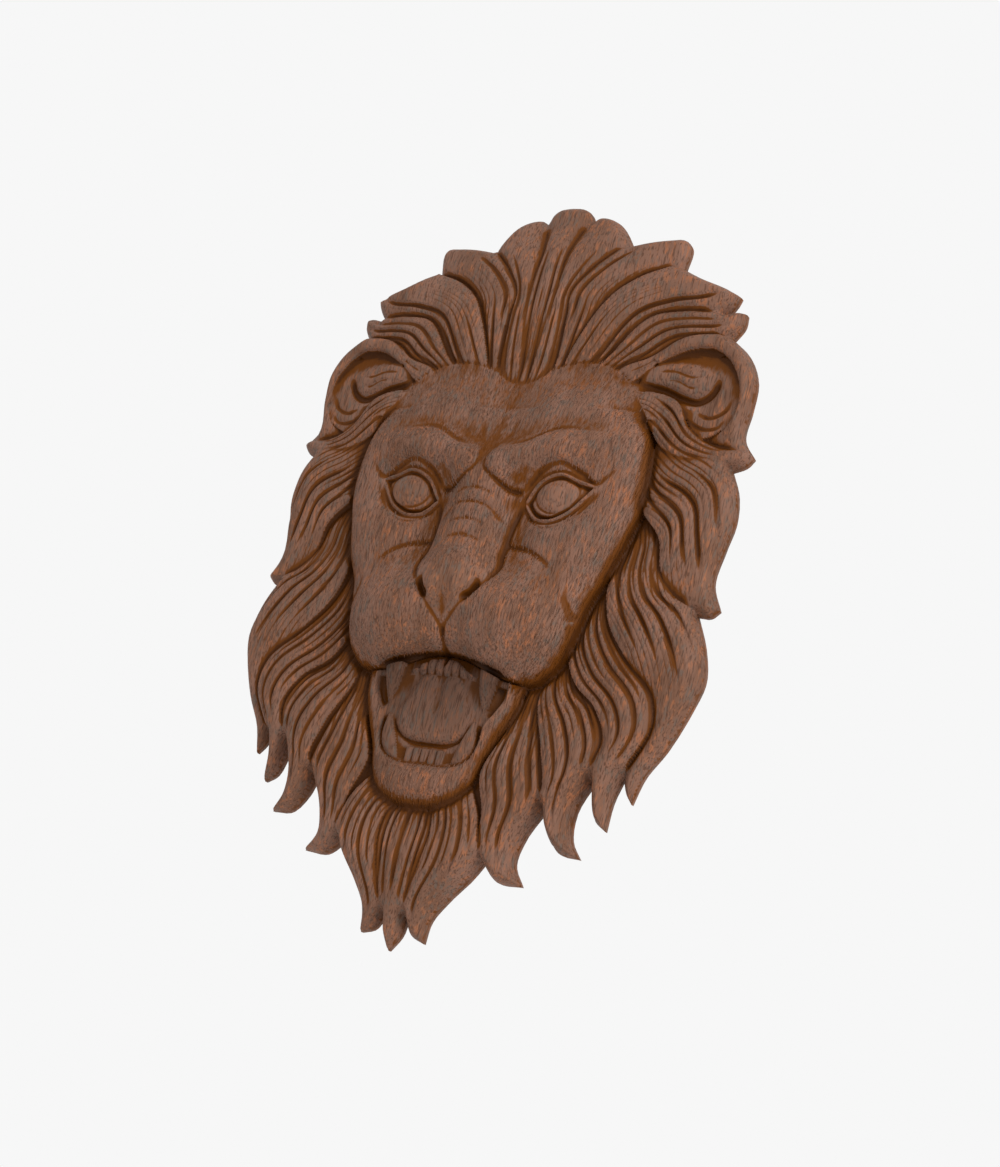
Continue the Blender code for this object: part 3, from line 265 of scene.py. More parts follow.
# Creases of the face: curve, height (below zero cuts in), half-width, share of its length that fades at
# each end.
CREASES = [
    ([(6, 57), (2.8, 50), (3.5, 42), (9, 36.5), (19, 30.5), (27, 30.5)], -2.4, 1.8, 0.45, 0.08),
    ([(26, 30), (37, 43), (48, 47.5), (60, 43), (70, 38), (82, 49)], -1.8, 1.8, 0.1, 0.35),
    ([(31, 18), (44, 10.8), (58, 16), (74, 34)], -1.4, 1.8, 0.15, 0.3),
    ([(8, 54), (23, 60.5), (40, 69), (62, 69)], -1.1, 1.5, 0.25, 0.35),
    ([(7, 60), (10, 68), (11, 78)], -0.6, 1.8, 0.3, 0.5),
    ([(28, 26), (24.5, 10), (24.5, -8), (26, -18), (20, -31), (14, -38)], -2.2, 1.8, 0.15, 0.25),
    ([(24, -2), (36, -3.5), (48, -8.5), (59, -17)], -1.6, 1.7, 0.05, 0.45),
    ([(0, 29), (8, 27.5), (15, 23)], -1, 1.7, 0, 0.4),
    ([(0, 20.5), (10, 18.5), (21, 9)], -1.3, 1.8, 0, 0.25),
    ([(0, 10), (8, 8.5), (15, 4)], -1, 1.7, 0, 0.4),
    ([(0, 0), (8, -1.5), (14, -5)], -0.8, 1.7, 0, 0.4),
    ([(7, -24), (7.5, -32), (9, -40)], 1.6, 2.2, 0.3, 0.3),
    ([(17.5, -28), (16, -35), (10, -42), (0, -54)], -1.1, 1.5, 0.2, 0),
    ([(0, -52), (0, -60), (0, -70)], -2.4, 2, 0.2, 0),
    ([(66.5, -21), (67, -31), (72, -41)], -1.8, 2.8, 0.5, 0.1),
]
NOSTRIL = ([(18.5, -24), (17.5, -30.5), (12.5, -36.5), (9, -37.5)], -6, 2.3, 0.35, 0.25)
# Lids: their curves, then each with the height of its ridge, the depth of the groove beside it and the share
# over which it ends. Distance to which a lid is felt, width of the ridge, place and width of the groove, and
# share over which a lid begins.
LID_UPPER = [(28.9, 24.1), (37.5, 36.6), (49, 41.2), (60, 38), (69.5, 36)]
LID_LOWER = [(28.9, 24.1), (36, 16.3), (46, 14.4), (57, 19.5), (69.5, 36)]
LIDS = [(LID_UPPER, 1.6, 1, 0.1), (LID_LOWER, 1.5, 0.9, 0.2)]
LID_REACH, LID_RIDGE, LID_GROOVE, LID_START = 6, 0.8, (1.9, 0.9), 0.05
# Fine folds beside the lids.
LID_FOLDS = [
    ([(33, 20), (38, 13.2), (46, 11.2), (58, 15.5), (68, 28)], 1.1, 0.9, 0.1, 0.2),
    ([(33, 25), (38, 20), (46, 17.8), (55, 21.5), (62, 30)], 1, 0.8, 0.15, 0.3),
]
# Eyeball: centre of the iris and how much wider than high it is, its ring and pupil (radius, depth, width),
# height of the ball at its middle and corners, its bend, and the width over which it meets the lids.
IRIS, IRIS_SQUASH = (48, 30), 1.18
IRIS_CUTS = [(13.4, 0.7, 1), (7, 0.5, 1.1)]
BALL_TOP, BALL_CORNER, BALL_BEND, BALL_SLOPE = 22.4, 16, 48, 1.5
# Mouth: its opening, the hollows beside the canines and the line round the tongue, the tongue, and the row of
# upper front teeth.
MOUTH = [(0, -64), (15, -66), (42, -76), (42.5, -86), (38.5, -94), (33.5, -103), (32.5, -112), (28, -122.5),
         (18, -127.5), (0, -128)]
MOUTH_HOLES = [
    ([(38, -80), (38, -87), (36, -93), (32.5, -98)], -3.2, 3.4, 0.05, 0.2),
    ([(0, -116), (12, -115.5), (19.5, -111), (24.5, -104)], -2.2, 1.3, 0, 0.1),
    ([(29.5, -102), (31.5, -110), (30.5, -117), (26.5, -122.5)], -3, 1.9, 0.15, 0.15),
]
TONGUE = [(0, -75), (12, -76.5), (16, -82), (20, -91), (24, -100), (23.5, -106.5), (18, -112.5), (9, -114.8),
          (0, -115.3)]
INCISORS = [(0, -67), (8, -69), (15.6, -74), (21.5, -77), (20.5, -79.5), (10, -78), (0, -77.2)]
# Canines: left edge, right edge, lift and crown from root to tip.
UPPER_CANINE = ([(24.5, -72), (26, -84), (30.2, -96.5)], [(36, -76), (34, -86), (30.8, -96.5)],
                (14, 13, 11.5, 10), (3.5, 3, 2.5, 0.8))
LOWER_CANINE = ([(16.5, -127), (21.5, -113), (26.8, -101)], [(27.5, -123.5), (29.5, -113), (27.8, -101)],
                (9, 10.5, 11.5, 12), (3, 3, 2, 0.8))
# Heights in the mouth: floor from its lower to its upper end, top of the wall round it, and the distance from
# the wall over which the hollows begin.
FLOOR_SPAN, FLOOR_HEIGHT = (-120, -100), (9, 11)
WALL_TOP, HOLE_FADE = 12.5, 2
# Tongue: depth of its edge below the floor, rise above that, width of its rounding, and depth, half-width and
# beginning of its groove.
TONGUE_SINK, TONGUE_RISE, TONGUE_ROUND = 1.6, 3.6, 9
TONGUE_GROOVE, TONGUE_GROOVE_WIDTH, TONGUE_GROOVE_SPAN = 2.4, 3, (-108, -94)
# Rows of front teeth: shift of the row, width, height and depth of the cuts between them, power of the cuts,
# bend of the upper row and the place it bends from, and half-width and lower and upper end of the lower row.
UPPER_TEETH, LOWER_TEETH = (0, 5.2, 14.6, 2.4), (2.5, 5, 11.6, 2.2)
TOOTH_POWER, UPPER_BEND, UPPER_MIDDLE = 3, 0.1, -72
LOWER_ROW = (12.5, -127.5, -118.5)
LIP_LINE = ([(0, -128), (12, -128), (24, -124.5), (32, -116)], -1.3, 1.3, 0, 0.2)
# Points read from a curve, points worked out from each that it is drawn by, and power of the length between
# those. Points on a stretch of the outline and on each edge of a strip, and a strip's least half-width.
CURVE_POINTS, CURVE_DETAIL, CURVE_POWER = 40, 24, 0.6
OUTLINE_POINTS, RULINGS, LEAST_HALF = 24, 64, 0.15
# Distance to which a crease is felt, in half-widths, and power of a rounding.
CREASE_REACH, ROUND_POWER = 3, 2.2
# A length or share too small to matter, which keeps a division finite, a place across that is outside any
# strip, and a height below all carving.
TINY, OUTSIDE, NO_WOOD = 1e-9, 9.0, -1

# Finest strands of the hair: waves across a drawing unit (radians), depth, how much and how fast they wander
# across and along a lock, shares of the lock where they begin and end, and how fast they end at its sides.
STRANDS_PER_UNIT, STRAND_DEPTH = 1.9, 0.6
WANDER, WANDER_PER_UNIT, WANDER_ALONG = 1.1, 0.55, 5
FINE_START, FINE_END, FINE_FADE, FINE_SIDES = 0.06, 0.9, 0.5, 6
# Raster that the depth of the cuts is read from, in drawing units: cell, margin and half-width, widths of the
# brushes that tell a cut from the carving round it, their reach in widths, and their least share on wood.
CELL, RASTER_MARGIN, RASTER_HALF = 1.0, 8, 158
STAIN_BRUSHES, BRUSH_REACH, LEAST_COVER = (2.2, 6), 2.5, 0.05
# Spacing of the outline's points for the stain and painted shade of the cuts, width along the outline that
# stays almost free of them, share of the edge's thickness that counts as its wall, width of the very rim and
# its stain and painted shade, that of the wall, and what the rim and the mouth take off.
STAIN_STEP, CLEAN_RIM, WALL_SHARE = 3, 9, 0.25
RIM_LINE, RIM_STAIN_AND_SHADE, WALL_STAIN, RIM_LOSS, MOUTH_LOSS = 0.5, 0.1, -0.3, 0.2, 0.2
# Share of the broad stain and painted shade in the mouth, how much more of them the grooves of the hair hold,
# and the band of stain and painted shade round the face, where it meets the hair: how far it is felt, amount
# and width.
MOUTH_BROAD, HAIR_STAIN_AND_SHADE = 0.2, 1.75
BAND_REACH, BAND_STAIN_AND_SHADE, BAND_WIDTH = 15, 0.55, 6.5
# How much darker the tone of the hair is than the face, and the painted shade in the mouth from its lower to
# its upper end, darkest at the top.
HAIR_DARKENING = 0.09
MOUTH_SPAN, MOUTH_PAINTED_SHADE = (-112, -82), (0.18, 0.48)
# Fur: clear distance from the lids and distance to which they are felt, how much a cut thins it, how far from
# the middle it leans fully and how much more at most, and its lean outwards from the nose to the forehead.
LID_CLEAR, LID_FELT, FUR_THINNING = 3.5, 5, 3
FUR_SIDE, FUR_MOST = 60, 1.3
LEAN_SPAN, LEAN = (20, 100), (0.2, 0.5)
# Places on the face without fur, each a ring of smooth stretches: nose leather, eye, mouth.
BARE = [
    [[(-1, -22), (12, -16), (22, -22), (20, -32), (10, -46), (-1, -58)]],
    [LID_UPPER, LID_LOWER[::-1]],
    [[(-1, -62), (0, -64)], MOUTH, [(0, -128), (-1, -129)]],
]
# Noises of the wood (waves per metre along x, y and z, detail, roughness, distortion): flecks, other flecks,
# pores, patches and clouds.
GRAINS = (
    ((480, 480, 115), 2, 0.6, 0.3),
    ((500, 390, 120), 2, 0.6, 0.3),
    ((1300, 1300, 120), 1, 0.5, 0.4),
    ((30, 30, 70), 3, 0.55, 0),
    ((55, 55, 20), 2, 0.55, 0),
)
# Values from which and to which each mark goes from nothing to full: clouds, grey flecks and the patches that
# hold them, the same for orange flecks, pores, stain with painted shade, and deep stain with painted shade.
CLOUDS, PORES = (0.3, 0.7), (0.5, 0.68)
GREY, GREY_PATCHES = (0.5, 0.36), (0.3, 0.6)
ORANGE, ORANGE_PATCHES = (0.5, 0.64), (0.66, 0.36)
STAINED, DEEP_STAINED = (-0.05, 0.3), (0.38, 1.1)
# Cover of the orange flecks and the pores at their strongest, weight of the broad stain and painted shade,
# and how ragged the flecks make them.
ORANGE_COVER, PORE_COVER, BROAD_WEIGHT, RAGGED = 0.75, 0.75, 1.2, 0.6
# Roughness, gloss, and the bump of the flecks and pores: their shares, its strength and its depth.
ROUGHNESS, GLOSS = (0.44, 0.62), 0.1
FLECK_BUMP, PORE_BUMP, BUMP_STRENGTH, BUMP_DEPTH = 0.6, 0.4, 0.6, 0.0005
# Fur strokes: most to a square metre before they are thinned to their spacing, sides of a stroke and steps
# along it, bend of its middle and sway as shares of its length, join of its points, and shares of its size.
FUR_DENSITY, FUR_SIDES, FUR_BEND, FUR_SWAY, FUR_JOIN = 1500000, 3, 0.1, 0.22, 0.01
FUR_SIZES = (0.6, 1.25)
# Clear distance from the outline to the grid, in steps, and distances that count as none: between points of
# the drawing, between the two halves, and between a point and the back.
GRID_CLEAR, SAME_POINT, MIDDLE_GAP, BACK_GAP = 0.6, 1e-5, 0.00001, 1e-6
# Half-width of the floor and its roughness.
FLOOR_HALF, FLOOR_ROUGHNESS = 6, 0.9
# Lights, aimed at the fixing point: name, place, width, power in watts.
LIGHTS = [
    ("key light", (-1.0, -2.4, 1.8), 1.8, 6),
    ("side light", (2.4, -1.4, 0.9), 1.5, 58),
]


def hermite(s, start, end, slope_start, slope_end):
    """Cubic from start to end with the given slopes, at share s of the gap between them."""
    return (
        (2 * s**3 - 3 * s**2 + 1) * start
        + (s**3 - 2 * s**2 + s) * slope_start
        + (3 * s**2 - 2 * s**3) * end
        + (s**3 - s**2) * slope_end
    )


def spline(points, count=CURVE_POINTS):
    """Points evenly spaced along a smooth curve through the given ones."""
    p = np.array(points, float)
    knots = np.concatenate([[0.0], np.cumsum(np.linalg.norm(np.diff(p, axis=0), axis=1) ** CURVE_POWER)])
    slopes = np.gradient(p, knots, axis=0)
    at = np.linspace(0, knots[-1], CURVE_DETAIL * len(p))
    k = np.clip(np.searchsorted(knots, at, side="right") - 1, 0, len(p) - 2)
    gap = (knots[k + 1] - knots[k])[:, None]
    share = (at[:, None] - knots[k][:, None]) / gap
    path = hermite(share, p[k], p[k + 1], gap * slopes[k], gap * slopes[k + 1])
    run = np.concatenate([[0.0], np.cumsum(np.linalg.norm(np.diff(path, axis=0), axis=1))])
    even = np.linspace(0, run[-1], count)
    return np.stack([np.interp(even, run, path[:, 0]), np.interp(even, run, path[:, 1])], 1)


# Curves and closed rings as points, as many as their bends need.
HAIRLINE_PATH, CHEEK_PATH = spline(HAIRLINE, 50), spline(CHEEK, 60)
JAW_PATH, LIP_PATH = spline(JAW), spline(LIP, 70)
FACE_RING = np.vstack([HAIRLINE_PATH, CHEEK_PATH, JAW_PATH])
MOUTH_RING, TONGUE_RING, INCISOR_RING = spline(MOUTH, 80), spline(TONGUE, 50), spline(INCISORS, 50)
EAR_RING = np.vstack([spline(RIM_INNER, 60), BOWL_CORNERS])
LID_RING = np.vstack([spline(LID_UPPER), spline(LID_LOWER)[::-1]])
LID_LINE = np.vstack([spline(LID_UPPER, 30), spline(LID_LOWER[::-1], 30)])


def graph(value, pairs):
    """Smooth curve through (place, height) pairs, read at value."""
    place, height = np.array(pairs, float).T
    slope = np.gradient(height, place)
    k = np.clip(np.searchsorted(place, value, side="right") - 1, 0, len(place) - 2)
    gap = place[k + 1] - place[k]
    s = np.clip((value - place[k]) / gap, 0, 1)
    return hermite(s, height[k], height[k + 1], gap * slope[k], gap * slope[k + 1])


def ramp(share, heights):
    """Heights evenly spaced from share 0 to 1, joined smoothly."""
    return graph(share, list(zip(np.linspace(0, 1, len(heights)), heights)))


def close_to(x, z, line, reach):
    """Indices of the points in the box of a line widened by reach."""
    low, high = line.min(0) - reach, line.max(0) + reach
    return np.nonzero((x > low[0]) & (x < high[0]) & (z > low[1]) & (z < high[1]))[0]


def near(x, z, line, reach):
    """Distance to a line, at most reach, and share of its length at the nearest place."""
    distance, share = np.full(x.shape, float(reach)), np.zeros(x.shape)
    found = close_to(x, z, line, reach)
    px, pz = x[found], z[found]
    best, place = np.full(len(found), np.inf), np.zeros(len(found))
    for k, (start, end) in enumerate(zip(line[:-1], line[1:])):
        step = end - start
        s = np.clip(((px - start[0]) * step[0] + (pz - start[1]) * step[1]) / (step @ step + TINY), 0, 1)
        gap = (px - start[0] - s * step[0]) ** 2 + (pz - start[1] - s * step[1]) ** 2
        closer = gap < best
        best[closer] = gap[closer]
        place[closer] = (k + s[closer]) / (len(line) - 1)
    distance[found], share[found] = np.minimum(np.sqrt(best), reach), place
    return distance, share


def bell(distance, width):
    """1 in the middle, dying away over the width."""
    return np.exp(-((distance / width) ** 2))


def crease(x, z, points, height, width, start, end):
    """Ridge, or groove where height is below zero, along a curve, fading over a share of it at each end."""
    distance, share = near(x, z, spline(points), CREASE_REACH * width)
    fade = np.clip((share + TINY) / (start + TINY), 0, 1)
    fade *= np.clip((1 - share + TINY) / (end + TINY), 0, 1)
    return height * fade * bell(distance, width)


def between(x, z, left, right):
    """Place in the strip between two edges: share along it, place across from -1 to 1, and half its width."""
    a, b = spline(left, RULINGS), spline(right, RULINGS)
    middle, half = (a + b) / 2, (b - a) / 2
    for k in range(1, RULINGS):
        if np.hypot(*half[k]) < LEAST_HALF:
            half[k] = LEAST_HALF * half[k - 1] / np.hypot(*half[k - 1])
    along, across, reach = np.full(x.shape, -1.0), np.full(x.shape, OUTSIDE), np.ones(x.shape)
    found = close_to(x, z, np.vstack([a, b]), 1)
    px, pz = x[found], z[found]
    best_along, best_across, best_width = along[found], across[found], reach[found]
    run = np.diff(middle, axis=0)
    turn = np.sign(np.sum(run[:, 0] * half[:-1, 1] - run[:, 1] * half[:-1, 0]))
    behind = turn * ((px - middle[0, 0]) * half[0, 1] - (pz - middle[0, 1]) * half[0, 0])
    for k in range(RULINGS - 1):
        (mx, mz), (hx, hz) = middle[k + 1], half[k + 1]
        ahead = turn * ((px - mx) * hz - (pz - mz) * hx)
        hit = np.nonzero((behind >= 0) & (ahead <= 0))[0]
        s = behind[hit] / np.maximum(behind[hit] - ahead[hit], TINY)
        mid = middle[k] + s[:, None] * run[k]
        arm = half[k] + s[:, None] * (half[k + 1] - half[k])
        width = np.hypot(arm[:, 0], arm[:, 1])
        place = (px[hit] - mid[:, 0]) * arm[:, 0] + (pz[hit] - mid[:, 1]) * arm[:, 1]
        place /= np.maximum(width, TINY) ** 2
        better = np.abs(place) < np.abs(best_across[hit])
        chosen = hit[better]
        best_across[chosen], best_width[chosen] = place[better], width[better]
        best_along[chosen] = (k + s[better]) / (RULINGS - 1)
        behind = ahead
    along[found], across[found], reach[found] = best_along, best_across, best_width
    return along, across, reach


def within(x, z, ring):
    """True for points inside a closed ring."""
    found = np.zeros(x.shape, bool)
    for (x0, z0), (x1, z1) in zip(ring, np.roll(ring, -1, axis=0)):
        if z0 != z1:
            found ^= ((z < z0) != (z < z1)) & (x < (x1 - x0) * (z - z0) / (z1 - z0) + x0)
    return found


def blend(a, b, soft):
    """The higher of two surfaces, with a soft valley where they cross."""
    s = np.clip(0.5 + 0.5 * (a - b) / soft, 0, 1)
    return b * (1 - s) + a * s + soft * s * (1 - s)


def rounding(distance, width, power=ROUND_POWER):
    """0 at an edge and 1 from width inwards, round as a gouge leaves it."""
    return np.clip(1 - np.clip(1 - distance / width, 0, 1) ** power, 0, 1) ** (1 / power)


def swelling(x, z, cx, cz, half_width, half_height, rise, turn, firmness):
    """Soft swelling that dies away to nothing."""
    c, s = math.cos(math.radians(turn)), math.sin(math.radians(turn))
    u, v = (x - cx) * c + (z - cz) * s, (z - cz) * c - (x - cx) * s
    return rise * np.exp(-(((u / half_width) ** 2 + (v / half_height) ** 2) ** (firmness / 2)))


def fade_in_out(share, start, end, rise, fall):
    """0 up to start and from end on, and 1 between, over the given shares."""
    return np.clip((share - start) / rise, 0, 1) * np.clip((end - share) / fall, 0, 1)


def lock(x, z, name):
    """One lock of hair: a bed between its edges, a rounded crown and the grooves of its strands."""
    left, right, tilt, lift, crown, strands = LOCKS[name]
    along, across, width = between(x, z, left, right)
    place = (across + 1) / 2 if name in MIDDLE_LOCKS else across
    height = ramp(along, lift) + ramp(along, crown) * (1 - np.minimum(np.abs(place), 1) ** CROWN_FULLNESS)
    height += tilt * across * fade_in_out(along, 0, 1, *TILT_FADE)
    for at, start, end, depth, half_width in strands:
        fade = fade_in_out(along, start, end, *STRAND_FADE)
        height -= depth * fade * bell((across - at) * width, half_width)
    return np.where((along >= 0) & (np.abs(across) <= LOCK_COVER), height, BED)


def ear(x, z):
    """Bowl of the ear with the hair in it, and its rim."""
    bowl = np.interp(x, BOWL_SPAN, BOWL_HEIGHT) + swelling(x, z, *EAR_HAIR_MASS)
    bowl += crease(x, z, *EAR_CREASE)
    for strand in EAR_STRANDS:
        bowl += crease(x, z, strand, *STRAND_IN_EAR)
    bowl = np.where(within(x, z, EAR_RING), bowl, BED)
    along, across, _ = between(x, z, RIM_OUTER, RIM_INNER)
    rim = ramp(along, RIM_LIFT) + RIM_CROWN * np.clip(1 - np.abs(across) ** RIM_SQUARE, 0, 1) ** RIM_FULL
    return np.maximum(bowl, np.where((along >= 0) & (np.abs(across) <= 1), rim, BED))


def mane(x, z):
    """All the hair and the ear. Locks cover each other, and a groove runs round the face."""
    height = np.maximum(ear(x, z), BED + swelling(x, z, *UNDER_JAW))
    for name in LOCKS:
        height = np.maximum(height, lock(x, z, name))
    return height + crease(x, z, CHEEK, *CHEEK_GROOVE) + crease(x, z, JAW, *JAW_GROOVE)


def face(x, z):
    """Skull, brows, cheeks, muzzle and jaw, falling away at the edge where the hair begins."""
    away = np.clip(x / FACE_HALF_WIDTH, 0, FACE_REACH) ** FACE_FALL
    height = graph(z, PROFILE) * (1 - away) + graph(z, SIDES) * away
    for form in FORMS:
        height += swelling(x, z, *form)
    above_lip = within(x, z, np.vstack([LIP_PATH, LIP_CORNERS]))
    to_edge = np.minimum(near(x, z, CHEEK_PATH, FAR)[0], near(x, z, JAW_PATH, FAR)[0])
    from_hair, _ = near(x, z, HAIRLINE_PATH, FAR)
    from_lip, at_lip = near(x, z, LIP_PATH, FAR)
    top = np.interp(x, TOP_SPAN, TOP_HEIGHT)
    from_top = from_hair + 2 * np.clip(TOP_END - z, 0, None)
    height = top + (height - top) * rounding(from_top, TOP_ROUND, TOP_FULLNESS)
    edged = EDGE_HEIGHT + (height - EDGE_HEIGHT) * rounding(to_edge, EDGE_ROUND)
    soften = ramp(at_lip, LIP_ROUND)
    from_lip = from_lip + LIP_LET_GO * np.clip((at_lip - LIP_END) / (1 - LIP_END), 0, 1) ** 2
    muzzle = np.minimum(edged, LIP_FOOT + (height - LIP_FOOT) * rounding(from_lip, soften))
    lower_jaw = JAW_FOOT + JAW_RISE * rounding(to_edge, JAW_ROUND) + swelling(x, z, *CHIN)
    past_lip = from_lip + FAR * (at_lip >= LIP_LAST)
    below = np.minimum(edged, LIP_FOOT + (height - LIP_FOOT) * rounding(past_lip, soften))
    cheek = np.where(from_lip < LIP_FELT, below, edged)
    whole = np.where(above_lip, muzzle, np.where(z < JAW_TOP, lower_jaw, cheek))
    start, slope, width = CHEEK_FALL
    beside = start - slope * np.minimum(to_edge, width)
    outside = np.where(z > HAIR_END, height - HAIR_FALL * from_hair, beside)
    return np.where(within(x, z, FACE_RING) | (above_lip & (z < LIP_OVERHANG)), whole, outside)


def lid(x, z, points, rise, cut, end):
    """Thin raised lid with a fine groove on each side."""
    distance, share = near(x, z, spline(points), LID_REACH)
    place, width = LID_GROOVE
    height = rise * bell(distance, LID_RIDGE) - cut * bell(distance - place, width)
    return height * fade_in_out(share, 0, 1, LID_START, end)


def eye(x, z, height):
    """Eyeball between two lids, with the ring of the iris and the pupil."""
    from_iris = np.hypot(x - IRIS[0], IRIS_SQUASH * (z - IRIS[1]))
    ball = np.maximum(BALL_TOP - from_iris**2 / BALL_BEND, BALL_CORNER)
    for radius, depth, width in IRIS_CUTS:
        ball -= depth * bell(from_iris - radius, width)
    meet = np.clip(near(x, z, LID_RING, 2 * BALL_SLOPE)[0] / BALL_SLOPE, 0, 1)
    height += (ball - height) * within(x, z, LID_RING) * meet
    for fold in LID_FOLDS:
        height += crease(x, z, *fold)
    for edge in LIDS:
        height += lid(x, z, *edge)
    return height


def tooth(x, z, left, right, lift, crown):
    """Pointed tooth between two edges, root first."""
    along, across, _ = between(x, z, left, right)
    height = ramp(along, lift) + ramp(along, crown) * np.clip(1 - across**2, 0, 1) ** 0.5
    return np.where((along >= 0) & (np.abs(across) <= 1), height, NO_WOOD)


def row_of_teeth(x, offset, width, height, gap):
    """Row of narrow teeth, each as wide as given, with a cut between them."""
    return height - gap * np.abs(2 * ((x + offset) % width) / width - 1) ** TOOTH_POWER


def mouth(x, z, height):
    """Open mouth: its floor, the tongue, the teeth above and below and the hollows beside the canines."""
    to_ring, _ = near(x, z, MOUTH_RING, WALL_TOP)
    floor = np.interp(z, FLOOR_SPAN, FLOOR_HEIGHT)
    cavity = np.minimum(height, np.maximum(floor, WALL_TOP - to_ring))
    for hole in MOUTH_HOLES:
        cavity += crease(x, z, *hole) * np.clip(to_ring / HOLE_FADE, 0, 1)
    from_edge, _ = near(x, z, TONGUE_RING, TONGUE_ROUND)
    groove = bell(x, TONGUE_GROOVE_WIDTH) * np.interp(z, TONGUE_GROOVE_SPAN, (0, 1))
    tongue = floor - TONGUE_SINK + TONGUE_RISE * rounding(from_edge, TONGUE_ROUND) - TONGUE_GROOVE * groove
    side, low, high = LOWER_ROW
    above = row_of_teeth(x, *UPPER_TEETH) - UPPER_BEND * (z - UPPER_MIDDLE) ** 2
    front = row_of_teeth(x, *LOWER_TEETH)
    filling = np.maximum.reduce([
        np.where(within(x, z, TONGUE_RING), tongue, NO_WOOD),
        np.where(within(x, z, INCISOR_RING), above, NO_WOOD),
        np.where((x < side) & (z > low) & (z < high), front, NO_WOOD),
        tooth(x, z, *UPPER_CANINE),
        tooth(x, z, *LOWER_CANINE),
    ])
    return np.where(within(x, z, MOUTH_RING), np.maximum(cavity, filling), height) + crease(x, z, *LIP_LINE)


def relief(x, z):
    """Height of the carving above the plane of the lock tips, for either half of the head."""
    x = np.abs(x)
    head = eye(x, z, mouth(x, z, face(x, z))) + crease(x, z, *NOSTRIL)
    for mark in CREASES:
        head += crease(x, z, *mark)
    in_face = within(x, z, np.vstack([HAIRLINE_PATH, HAIRLINE_CORNERS]))
    from_hair, _ = near(x, z, HAIRLINE_PATH, FAR)
    hair = mane(x, z) + crease(x, z, HAIRLINE, *HAIRLINE_GROOVE)
    hair = np.where(in_face, hair - HAIR_FALL * np.minimum(from_hair, HAIR_DEEPEST), hair)
    height = blend(head, hair, FACE_VALLEY)
    outline = np.vstack([spline(stretch, OUTLINE_POINTS) for stretch in OUTLINE])
    to_rim, _ = near(x, z, outline, RIM_ROUND)
    return (height + RIM_DROP) * rounding(to_rim, RIM_ROUND, RIM_FULLNESS) - RIM_DROP


def half_outline(step):
    """Outline of the right half from top to bottom, in drawing units, with its corners kept."""
    path = []
    for stretch in OUTLINE:
        length = np.linalg.norm(np.diff(spline(stretch), axis=0), axis=1).sum()
        path.extend(spline(stretch, max(3, math.ceil(length / step) + 1))[:-1])
    return np.array(path + [OUTLINE[-1][-1]])


def flat_half(grid, edge_step):
    """Flat face in the plane of the wall: the outline of one half and a strip past the middle plane."""
    edge = half_outline(edge_step / UNIT)
    step = grid / UNIT
    strip = edge[edge[:, 0] < MIDDLE_STRIP] * [-1, 1]
    low, high = strip[strip[:, 1] < 0], strip[strip[:, 1] > 0]
    ring = np.vstack([edge, low[-2::-1], high[:0:-1]])
    columns = np.arange(step - MIDDLE_STRIP, edge[:, 0].max(), step)
    rows = np.arange(DRAWN_BOTTOM + step, DRAWN_TOP, step)
    x, z = (a.ravel() for a in np.meshgrid(columns, rows))
    to_edge, _ = near(x, z, edge, 2 * step)
    keep = within(x, z, ring) & (to_edge > GRID_CLEAR * step)
    points = np.vstack([ring, np.stack([x[keep], z[keep]], 1)])
    flat = delaunay_2d_cdt([Vector(p) for p in points], [], [range(len(ring))], 1, SAME_POINT)
    mesh = bpy.data.meshes.new("carved_lion_head")
    mesh.from_pydata([(c.x * UNIT, 0, c.y * UNIT) for c in flat[0]], [], flat[2])
    return mesh


def fine_strands(x, z):
    """Depth of the finest strands, which run along each lock and die away towards its tip."""
    top, depth = np.full(x.shape, float(BED)), np.zeros(x.shape)
    for number, name in enumerate(LOCKS):
        height = lock(x, z, name)
        along, across, width = between(x, z, *LOCKS[name][:2])
        place = across * width
        wander = WANDER * np.sin(WANDER_PER_UNIT * place + number) + np.sin(WANDER_ALONG * along + 2 * number)
        wave = np.sin(STRANDS_PER_UNIT * place + wander)
        fade = fade_in_out(along, 0, FINE_END, FINE_START, FINE_FADE)
        fade *= np.clip((1 - np.abs(across)) * FINE_SIDES, 0, 1)
        depth = np.where(height > top, STRAND_DEPTH * fade * np.clip(wave, 0, 1) ** 2, depth)
        top = np.maximum(top, height)
    return np.where(within(x, z, FACE_RING), 0, depth)


def carve(mesh, edge_thickness):
    """Raises the flat face to the relief, with a wall round it and a flat back. Returns metres per unit."""
    shape = bmesh.new()
    shape.from_mesh(mesh)
    back = shape.faces[:]
    raised = bmesh.ops.extrude_face_region(shape, geom=back)["geom"]
    bmesh.ops.dissolve_faces(shape, faces=back)
    front = [v for v in raised if isinstance(v, bmesh.types.BMVert)]
    x, z = np.array([v.co.x for v in front]) / UNIT, np.array([v.co.z for v in front]) / UNIT
    heights = relief(x, z)
    rise = (DEPTH - edge_thickness) / heights.max()
    heights -= fine_strands(np.abs(x), z)
    for vert, height in zip(front, heights):
        vert.co.y = -edge_thickness - height * rise
    bmesh.ops.recalc_face_normals(shape, faces=shape.faces[:])
    shape.to_mesh(mesh)
    shape.free()
    return rise


def plain_mesh(source, name):
    """A new object with the source's finished mesh and no modifiers. The source is removed."""
    graph_now = bpy.context.evaluated_depsgraph_get()
    mesh = bpy.data.meshes.new_from_object(source.evaluated_get(graph_now), depsgraph=graph_now)
    bpy.data.objects.remove(source)
    mesh.name = name
    made = bpy.data.objects.new(name, mesh)
    bpy.context.scene.collection.objects.link(made)
    return made


